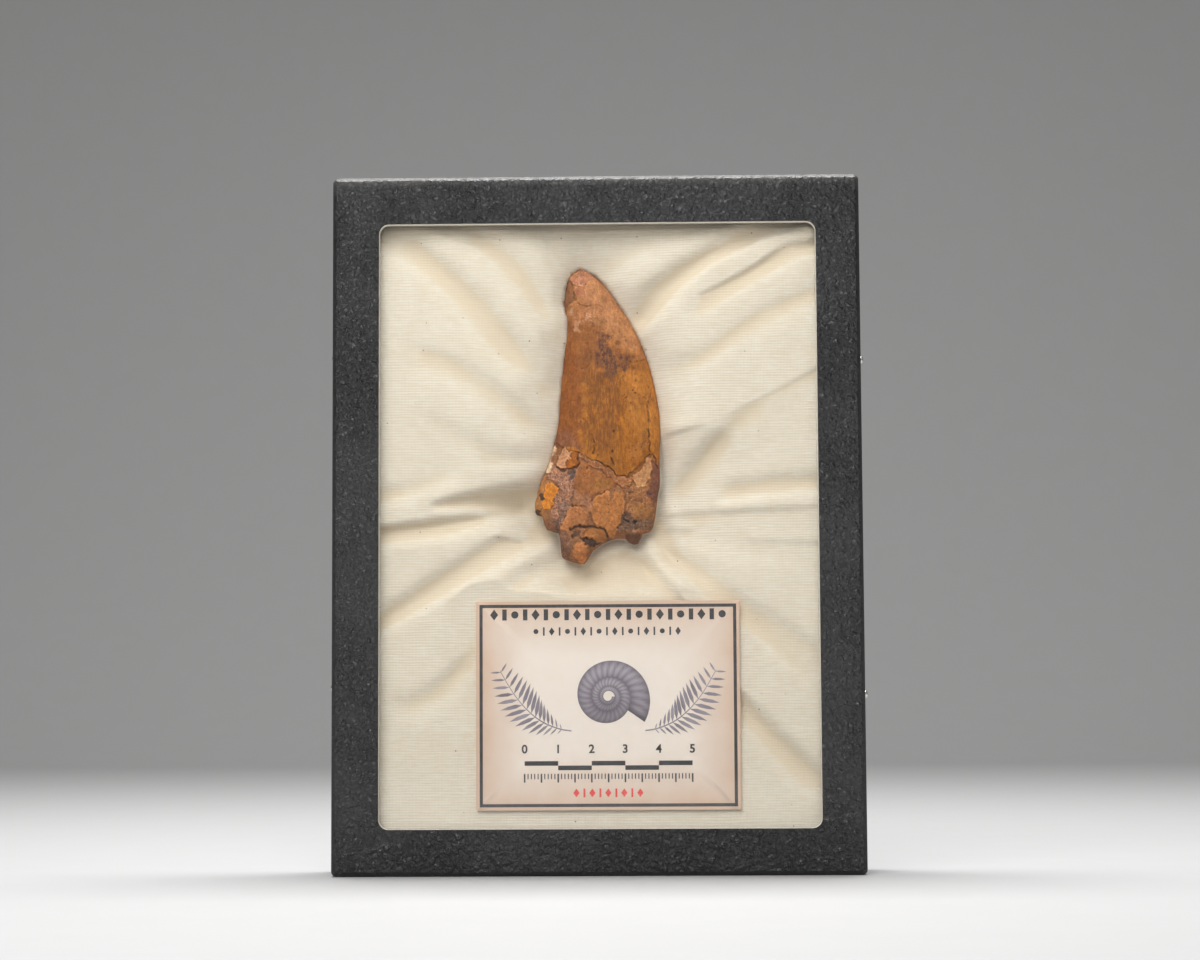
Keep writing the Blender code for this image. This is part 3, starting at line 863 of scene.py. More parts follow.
@dataclass(frozen=True)
class Ink(Finish):
    """Printing ink, a little uneven where the paper's fibres take it less."""

    name: str = "Black ink"
    colour: Colour = (0.035, 0.033, 0.036)
    pale: Colour = (0.085, 0.078, 0.078)
    toned: bool = False

    def surface(self, nodes: Nodes) -> dict[str, Value]:
        """What the shader's sockets are given."""
        tone = nodes.effect(fibre_effect(), "Tone", Where=nodes.place())
        uneven = nodes.remap(tone, 0.42, 0.72)
        if self.toned:
            uneven = uneven * 0.12 + nodes.attribute("tone")
        return {
            "Base Color": nodes.mix(uneven, self.colour, self.pale),
            "Roughness": nodes.remap(tone, 0.3, 0.7, 0.42, 0.56),
        }


@dataclass(frozen=True)
class Nickel(Finish):
    """Nickel-plated pin steel with fine handling marks."""

    name: str = "Nickel-plated steel"
    colour: Colour = (0.76, 0.745, 0.71)
    dull: Colour = (0.42, 0.4, 0.37)

    def surface(self, nodes: Nodes) -> dict[str, Value]:
        """What the shader's sockets are given."""
        scratches = nodes.noise(nodes.place((6, 1.2, 6)), detail=3, roughness=0.7)
        tarnish = nodes.noise(nodes.place(), 1.4, detail=3)
        return {
            "Base Color": nodes.mix(nodes.remap(tarnish, 0.5, 0.75), self.colour, self.dull),
            "Roughness": nodes.remap(scratches, 0.3, 0.7, 0.16, 0.34),
            "Normal": nodes.bump(scratches, 0.01),
            "Metallic": 1.0,
        }


@dataclass(frozen=True)
class PaleFloor(Finish):
    """The studio's pale paper sweep."""

    name: str = "Pale studio paper"
    colour: Colour = (0.62, 0.62, 0.62)
    paler: Colour = (0.6448, 0.6448, 0.6448)

    def surface(self, nodes: Nodes) -> dict[str, Value]:
        """What the shader's sockets are given."""
        grain = nodes.noise(nodes.place(), 0.05, detail=3)
        return {"Base Color": nodes.mix(grain, self.colour, self.paler), "Roughness": 0.75}


# The studio


@dataclass(frozen=True)
class Lamp:
    """One soft area light.

    Attributes:
        name: the light's name.
        place: where it hangs, in metres.
        target: what it points at.
        size: its width and height in metres.
        power: its power in watts.
    """

    name: str
    place: tuple[float, float, float]
    target: tuple[float, float, float]
    size: Point
    power: float

    def hang(self) -> None:
        """Adds the light to the scene."""
        light = bpy.data.lights.new(self.name, "AREA")
        light.shape = "RECTANGLE"
        light.size, light.size_y = self.size
        light.energy = self.power
        holder = bpy.data.objects.new(self.name, light)
        holder.location = self.place
        direction = Vector(self.target) - Vector(self.place)
        holder.rotation_euler = direction.to_track_quat("-Z", "Y").to_euler()
        bpy.context.scene.collection.objects.link(holder)


@dataclass
class Studio:
    """The floor, the lights and the camera."""

    sweep_half_width: float = 3000.0
    sweep_front: float = -2600.0
    sweep_back: float = 1500.0
    sweep_radius: float = 500.0
    sweep_height: float = 2200.0
    sweep_steps: int = 24
    world_level: float = 0.25
    lamps: tuple[Lamp, ...] = (
        Lamp("upper_front_light", (-0.12, -0.45, 0.55), (0.0, 0.0, 0.10), (0.45, 0.30), 1.8),
        Lamp("lower_front_light", (-0.05, -0.95, 0.405), (0.0, 0.0, 0.15), (0.5, 0.05), 0.85),
        Lamp("overhead_light", (0.0, 0.11, 0.80), (0.0, 0.11, 0.15), (0.5, 0.24), 7.0),
    )
    camera_place: tuple[float, float, float] = (0.0146, -0.7628, 0.0567)
    camera_turns: tuple[tuple[float, str], ...] = ((1.04, "Z"), (4.62, "X"), (0.31, "Y"), (90.0, "X"))
    camera_lens: float = 75.57

    def build(self) -> None:
        """Adds the whole studio."""
        self.lay_floor()
        self.light_room()
        for lamp in self.lamps:
            lamp.hang()
        self.set_camera()

    def lay_floor(self) -> None:
        """A floor that curves up into a backdrop behind the case."""
        bend, radius = self.sweep_back - self.sweep_radius, self.sweep_radius
        turns = [math.pi / 2 * step / self.sweep_steps for step in range(self.sweep_steps + 1)]
        arc = [(bend + radius * math.sin(turn), radius - radius * math.cos(turn)) for turn in turns]
        section = [(self.sweep_front, 0.0), *arc, (self.sweep_back, self.sweep_height)]
        bm = bmesh.new()
        _, edges = chain(bm, [(-self.sweep_half_width, y, z) for y, z in section])
        for vert in extrude(bm, edges)[0]:
            vert.co.x = self.sweep_half_width
        bmesh.ops.recalc_face_normals(bm, faces=bm.faces)
        mesh = mesh_from(bm, "studio_floor")
        mesh.transform(Matrix.Scale(MM, 4))
        mesh.shade_smooth()
        mesh.materials.append(PaleFloor().material())
        floor = bpy.data.objects.new("studio_floor", mesh)
        bpy.context.scene.collection.objects.link(floor)

    def light_room(self) -> None:
        """Even light from all round, and colours shown as they are."""
        world = bpy.data.worlds.new("studio_room")
        world.use_nodes = True
        background = world.node_tree.nodes["Background"]
        background.inputs["Color"].default_value = (1.0, 0.99, 0.975, 1.0)
        background.inputs["Strength"].default_value = self.world_level
        bpy.context.scene.world = world
        bpy.context.scene.view_settings.view_transform = "Standard"
        bpy.context.scene.view_settings.look = "None"

    def set_camera(self) -> None:
        """Puts the camera where the photograph was taken from."""
        data = bpy.data.cameras.new("photograph_camera")
        data.sensor_width = 36.0
        data.lens = self.camera_lens
        data.clip_start, data.clip_end = 0.01, 20.0
        camera = bpy.data.objects.new("photograph_camera", data)
        place = Matrix.Translation(self.camera_place)
        for degrees, axis in self.camera_turns:
            place = place @ Matrix.Rotation(math.radians(degrees), 4, axis)
        camera.matrix_world = place
        bpy.context.scene.collection.objects.link(camera)
        bpy.context.scene.camera = camera


# The case


@dataclass(frozen=True)
class Box:
    """Where a CAD node is, in millimetres."""

    low: Vector
    high: Vector

    @classmethod
    def of(cls, node: str) -> "Box":
        """The box of that node."""
        low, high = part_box(node)
        return cls(low / MM, high / MM)

    @property
    def half_width(self) -> float:
        """Half its width."""
        return (self.high.x - self.low.x) / 2

    @property
    def half_height(self) -> float:
        """Half its height."""
        return (self.high.z - self.low.z) / 2

    @property
    def middle(self) -> Point:
        """Its middle as (x, height)."""
        return ((self.high.x + self.low.x) / 2, (self.high.z + self.low.z) / 2)

    def rim(self, inset: float, depth: float, radius: float, paint: int = 0) -> Rim:
        """A loop that lies inset from its outline."""
        return Rim(self.half_width - inset, self.half_height - inset, radius, depth, paint, self.middle)

    def inward(self, x: Array, z: Array) -> tuple[Array, Array]:
        """Distances in from its sides, and from its top and bottom."""
        return self.half_width - np.abs(x - self.middle[0]), self.half_height - np.abs(z - self.middle[1])


@dataclass
class Lid:
    """The board lid: its leatherette skin, the bevelled cut of its window, and its inside."""

    board: float = 2.0
    wall: float = 1.6
    edge_radius: float = 1.6
    edge_steps: int = 7
    window_half: Point = (65.75, 90.65)
    window_middle: Point = (0.45, 104.475)
    window_radius: float = 3.0
    cut_slope: float = 0.15
    # How far down from the top edge the painted sheen band reaches.
    dust_reach: float = 3.4
    lip_radius: float = 0.18
    unevenness: float = 0.06
    scuffs: tuple[tuple[float, float, float, float], ...] = (
        (-74.0, 13.0, 0.7, 0.5),
        (-63.2, 4.6, 1.3, 0.35),
        (-71.4, 2.6, 0.6, 0.4),
        (-73.5, 58.6, 0.35, 3.2),
    )
    box: Box = field(default_factory=lambda: Box.of("lid_frame"))

    def window(self, inset: float, depth: float, paint: int = 0) -> Rim:
        """A loop that lies inset from the window's edge."""
        half_width, half_height = (half - inset for half in self.window_half)
        radius = max(self.window_radius - inset, 0.3)
        return Rim(half_width, half_height, radius, depth, paint, self.window_middle)

    def rims(self) -> list[Rim]:
        """The skin's loops, from the inside of the board round the outside to the window and back."""
        front, rim = self.box.low.y, self.box.high.y
        radius, board_back, outer = self.edge_radius, front + self.board, self.box.rim
        inside = outer(self.wall, board_back, 0.4, 2)
        loops = [inside, outer(self.wall, rim - 0.3, 0.4, 2), outer(self.wall - 0.3, rim, 0.5, 2)]
        loops += [outer(0.35, rim, radius), outer(0.0, rim - 0.35, radius)]
        loops += [outer(0.0, rim - (rim - front - radius) * share, radius) for share in (0.33, 0.66, 1.0)]
        for step in range(1, self.edge_steps + 1):
            turn = math.pi / 2 * step / self.edge_steps
            inset = radius * (1 - math.cos(turn))
            loops.append(outer(inset, front + radius * (1 - math.sin(turn)), radius + 0.2 - inset))
        lip = self.lip_radius
        loops += [outer(3.2, front, 0.2), self.window(-3.0, front), self.window(-lip, front)]
        loops += [self.window(-lip * 0.3, front + lip * 0.3), self.window(0.0, front + lip)]
        return [*loops, self.window(self.cut_slope, board_back, 1), inside]

    def build(self) -> Object:
        """Makes the lid."""
        mesh = mesh_from(shell_of(self.rims()), "lid_shell")
        places = points_of(mesh)
        x, y, z = places.T
        across, up = self.box.inward(x, z)
        front, back = y < self.box.low.y + 0.02, y - self.box.low.y
        dent = self.unevenness * np.clip(0.5 + 0.5 * rough_noise(x, z, 17.0, 11), 0, 1)
        places[:, 1] += np.where(front & (across >= 4) & (up >= 4), dent, 0)
        move_points(mesh, places)
        nearest = np.sort(np.stack([across, up, back]), axis=0)[1]
        # Painted sheen: a pale band along the top edge stands in for the light's highlight on the rounded top
        # edge. The listed scuffs below are real marks.
        scuff = smooth_step(1.1 - (self.box.high.z - z) / self.dust_reach) * (back < 4)
        scuff *= 0.8 + 0.2 * rough_noise(x, y, 3.0, 15)
        for centre_x, centre_z, wide, tall in self.scuffs:
            away = np.hypot((x - centre_x) / wide, (z - centre_z) / tall)
            scuff = np.maximum(scuff, smooth_step(1.6 - away) * front)
        keep_values(mesh, edge=smooth_step(1.2 - nearest / 1.6), scuff=np.clip(scuff, 0, 1))
        cream, paler, worn = (0.91, 0.84, 0.72), (0.96, 0.91, 0.8), (0.5, 0.4, 0.28)
        cut_edge = PlainPaper("Cut board edge", paler, cream, worn, 0.15, 0.8)
        finishes = (Leatherette(), cut_edge, PlainPaper("Lid lining paper"))
        materials = [finish.material() for finish in finishes]
        return make_piece(mesh, "lid_shell", materials, ["lid_frame"], 42)


@dataclass
class Tray:
    """The tray behind the filling, wrapped in black paper, with a pasted back sheet."""

    wall: float = 1.5
    corner_radius: float = 0.8
    sheet_inset: float = 4.9
    sheet_thickness: float = 0.16
    box: Box = field(default_factory=lambda: Box.of("base_tray"))

    def build(self) -> list[Object]:
        """Makes the tray and its back sheet."""
        rim, back = self.box.low.y, self.box.high.y - self.sheet_thickness
        wall, radius = self.wall, self.corner_radius
        wrap = PlainPaper("Tray wrap paper", (0.022, 0.022, 0.024), (0.036, 0.035, 0.036))
        inside = ((wall, self.box.high.y - wall, 0.3), (wall, rim + 0.3, 0.3), (wall - 0.3, rim, 0.4))
        outside = ((0.3, rim, radius), (0, rim + 0.3, radius), (0, (rim + back) / 2, radius))
        under = ((0, back - 0.5, radius), (0.15, back - 0.15, radius), (0.5, back, radius), (6.0, back, 0.3))
        steps = (*inside, *outside, *under)
        shell = self.board("tray_shell", steps, 0.0, 1.2, back - 1, wrap, ["base_tray"])
        back, inset = self.box.high.y, self.sheet_inset
        paper = PlainPaper("Back sheet paper", (0.030, 0.030, 0.031), (0.050, 0.049, 0.048), worn=0.38)
        steps = ((inset, back - self.sheet_thickness - 0.05, 0.6), (inset, back - 0.04, 0.6))
        steps += ((inset + 0.05, back, 0.6), (inset + 8.0, back, 0.6))
        return [shell, self.board("tray_back_sheet", steps, inset + 0.48, 0.8, 0.0, paper, [])]

    def board(
        self,
        name: str,
        steps: Iterable[tuple[float, float, float]],
        worn_inset: float,
        worn_reach: float,
        worn_from: float,
        paper: PlainPaper,
        stands_for: Sequence[str],
    ) -> Object:
        """Makes a shell that is worn along its edge.

        Args:
            name: the piece's name.
            steps: inset, depth and corner radius of each loop.
            worn_inset: inset of the edge that is worn most.
            worn_reach: how far the wear reaches in from it.
            worn_from: depth behind which it is worn.
            paper: its finish.
            stands_for: the CAD nodes that it replaces.

        Returns:
            The piece.
        """
        mesh = mesh_from(close_ends(shell_of([self.box.rim(*step) for step in steps])), name)
        x, y, z = points_of(mesh).T
        away = np.minimum(*self.box.inward(x, z)) - worn_inset
        keep_values(mesh, edge=smooth_step(1 - away / worn_reach) * (y > worn_from))
        return make_piece(mesh, name, [paper.material()], stands_for, 38)


class PinSide(Enum):
    """The side of the case that a pin is pushed into."""

    LEFT = -1
    RIGHT = 1


@dataclass
class Pin:
    """One round-headed pin through the lid's side."""

    node: str
    side: PinSide
    height: float
    depth_place: float = 2.0
    head_base: float = 79.675
    head_radius: float = 1.15
    head_length: float = 1.62
    shaft_radius: float = 0.4
    length: float = 14.5
    point_length: float = 1.6

    def profile(self) -> list[Point]:
        """Half section from the top of the head to the point, as (radius, distance outwards)."""
        dome = [
            (self.head_radius * math.sin(turn), self.head_length * (0.5 + 0.5 * math.cos(turn)))
            for turn in (math.radians(degrees) for degrees in range(0, 171, 10))
        ]
        shaft, end = self.shaft_radius, -self.length
        point = [(shaft, end + self.point_length), (shaft * 0.6, end + self.point_length * 0.45), (0.0, end)]
        return [*dome, (shaft * 1.25, 0.03), (shaft, -0.25), *point]

    def build(self, nickel: Material) -> Object:
        """Makes the pin in that material."""
        bm = bmesh.new()
        verts, edges = chain(bm, [(out * self.side.value, radius, 0) for radius, out in self.profile()])
        spin = {"cent": (0, 0, 0), "axis": (1, 0, 0), "angle": 2 * math.pi, "steps": 28}
        bmesh.ops.spin(bm, geom=[*verts, *edges], use_merge=True, use_duplicate=False, **spin)
        bmesh.ops.remove_doubles(bm, verts=bm.verts, dist=0.001)
        centre = (self.side.value * self.head_base, self.depth_place, self.height)
        bmesh.ops.translate(bm, vec=centre, verts=bm.verts)
        bmesh.ops.recalc_face_normals(bm, faces=bm.faces)
        return make_piece(bm, "nickel_" + self.node, [nickel], [self.node], 50)


# The tooth


@dataclass(frozen=True)
class ToothForm:
    """The tooth's outline and section, in the CAD's own numbers."""

    left: tuple[Point, ...] = (
        (100, -18.9), (103, -19), (107, -18.9), (111, -18.4), (114, -18.1), (116, -17.7), (118.8, -16.7),
        (120.4, -15.8), (123.2, -14.7), (126.7, -13.7), (129.9, -12.9), (134.4, -11.9), (142.8, -11.2),
        (155.1, -10), (164.3, -8.9), (168, -9), (171, -9.9), (176, -9.5), (180, -8.4), (182, -6.9),
        (182.9, -5.2),
    )
    right: tuple[Point, ...] = (
        (100, 16.7), (102, 17.4), (105, 18), (110, 18.4), (115.2, 18.8), (127.3, 19), (132, 19.2),
        (138.9, 18.8), (146.9, 17.4), (154, 15.6), (164.2, 11.4), (172.2, 6.5), (179, 1.4), (181.2, -1),
        (182.5, -2.8), (182.9, -4.8),
    )
    root: tuple[Point, ...] = (
        (-19.2, 109.5), (-19, 108.6), (-18.4, 107.7), (-16.8, 107.2), (-16.3, 105), (-15.4, 103.2),
        (-13.2, 102.4), (-11.75, 102.1), (-11.35, 99.5), (-11.2, 96.6), (-10.8, 94.8), (-9.7, 94),
        (-7.5, 93.3), (-5.3, 92.6), (-4, 92.8), (-2.7, 94.5), (-1.5, 96.7), (-0.2, 97.6), (1.7, 98.9),
        (3.6, 99.8), (5.8, 100.4), (8.4, 100.3), (9.5, 99.1), (10.9, 98.5), (12.1, 98.7), (13.1, 100.3),
        (13.6, 101.6), (15.7, 102.3), (16.8, 103.4), (17.4, 105.2), (17.9, 107.7), (18.4, 111),
    )
    bottom: float = 100.0
    blend_top: float = 116.0
    tip: float = 182.9
    half_thickness: tuple[Point, ...] = (
        (100, 6.2), (108, 6.9), (118, 7), (128, 6.8), (140, 6.2), (155, 5.1), (168, 3.9), (176, 3),
        (180.5, 2.1), (182.9, 0.6),
    )
    middle_depth: tuple[Point, ...] = ((100, -0.4), (130, -0.4), (160, 0.1), (182.9, 0.8))
    root_fullness: float = 1.0
    crown_fullness: float = 1.35

    def left_edge(self, height: Array) -> Array:
        """The left outline's place at a height."""
        return curve_through(self.left)(height)

    def right_edge(self, height: Array) -> Array:
        """The right outline's place at a height."""
        return curve_through(self.right)(height)

    def thickness(self, height: Array) -> Array:
        """Half the tooth's thickness at a height."""
        return curve_through(self.half_thickness)(height)

    def depth(self, height: Array) -> Array:
        """Depth of the tooth's middle at a height."""
        return curve_through(self.middle_depth)(height)

    def root_edge(self, x: Array) -> Array:
        """Height of the broken lower edge."""
        return np.interp(x, *zip(*self.root))

    def outline(self) -> list[Point]:
        """The tooth's outline as seen from the front."""
        heights = np.linspace(self.blend_top, self.tip, 40)
        up = list(zip(self.left_edge(heights), heights))
        down = list(zip(self.right_edge(heights[::-1]), heights[::-1]))
        x = np.linspace(self.root[-1][0], self.root[0][0], 40)
        return [*up, *down, *zip(x, self.root_edge(x))]

    def outside(self, x: Array, z: Array) -> Array:
        """Distance from the outline, below 0 inside it."""
        return -inside_reach(x, z, self.outline())


@dataclass(frozen=True)
class Marking:
    """An area of the tooth's front with its own colour and relief.

    Attributes:
        name: what it is.
        outline: its outline as (x, height).
        colour: its colour, or None where it only changes the shape or the texture.
        rise: how far it stands out, below 0 where it is sunk.
        soft: width of its edge.
        ragged: how far its edge wanders.
        cover: how much of the colour shows.
        grainy: how sandy it is.
        stippled: how pitted it is.
        streaky: how much it is streaked along the tooth.
        stained: how much of the dark mineral stain it has.
    """

    name: str
    outline: tuple[Point, ...]
    colour: Colour | None = None
    rise: float = 0.0
    soft: float = 0.6
    ragged: float = 0.4
    cover: float = 1.0
    grainy: float = 0.0
    stippled: float = 0.0
    streaky: float = 0.0
    stained: float = 0.0


@dataclass(frozen=True)
class Line:
    """A crack, ledge or edge on the tooth's front.

    Attributes:
        name: what it is.
        path: its path as (x, height).
        width: half its width.
        depth: how deep it is cut, below 0 where it stands out.
        dark: how dark it is.
        broken: how often it is interrupted.
    """

    name: str
    path: tuple[Point, ...]
    width: float = 0.22
    depth: float = 0.25
    dark: float = 0.7
    broken: float = 0.0


ENAMEL_EDGE = (
    (-19, 130.5), (-13.7, 130.2), (-12.7, 129.6), (-10.8, 128.4), (-9.6, 128.1), (-8, 126.5), (-5.6, 126.4),
    (-5.3, 125.7), (-2.9, 125), (-1, 123.8), (0.9, 122.9), (3.4, 121.7), (4.7, 120.7), (6.1, 119.1),
    (8, 119), (9.8, 119.9), (11, 120.5), (12, 121.6), (13.6, 122.7), (14.9, 124.9), (16.5, 126),
    (17.7, 124.3), (18.3, 121.7), (19.5, 121),
)

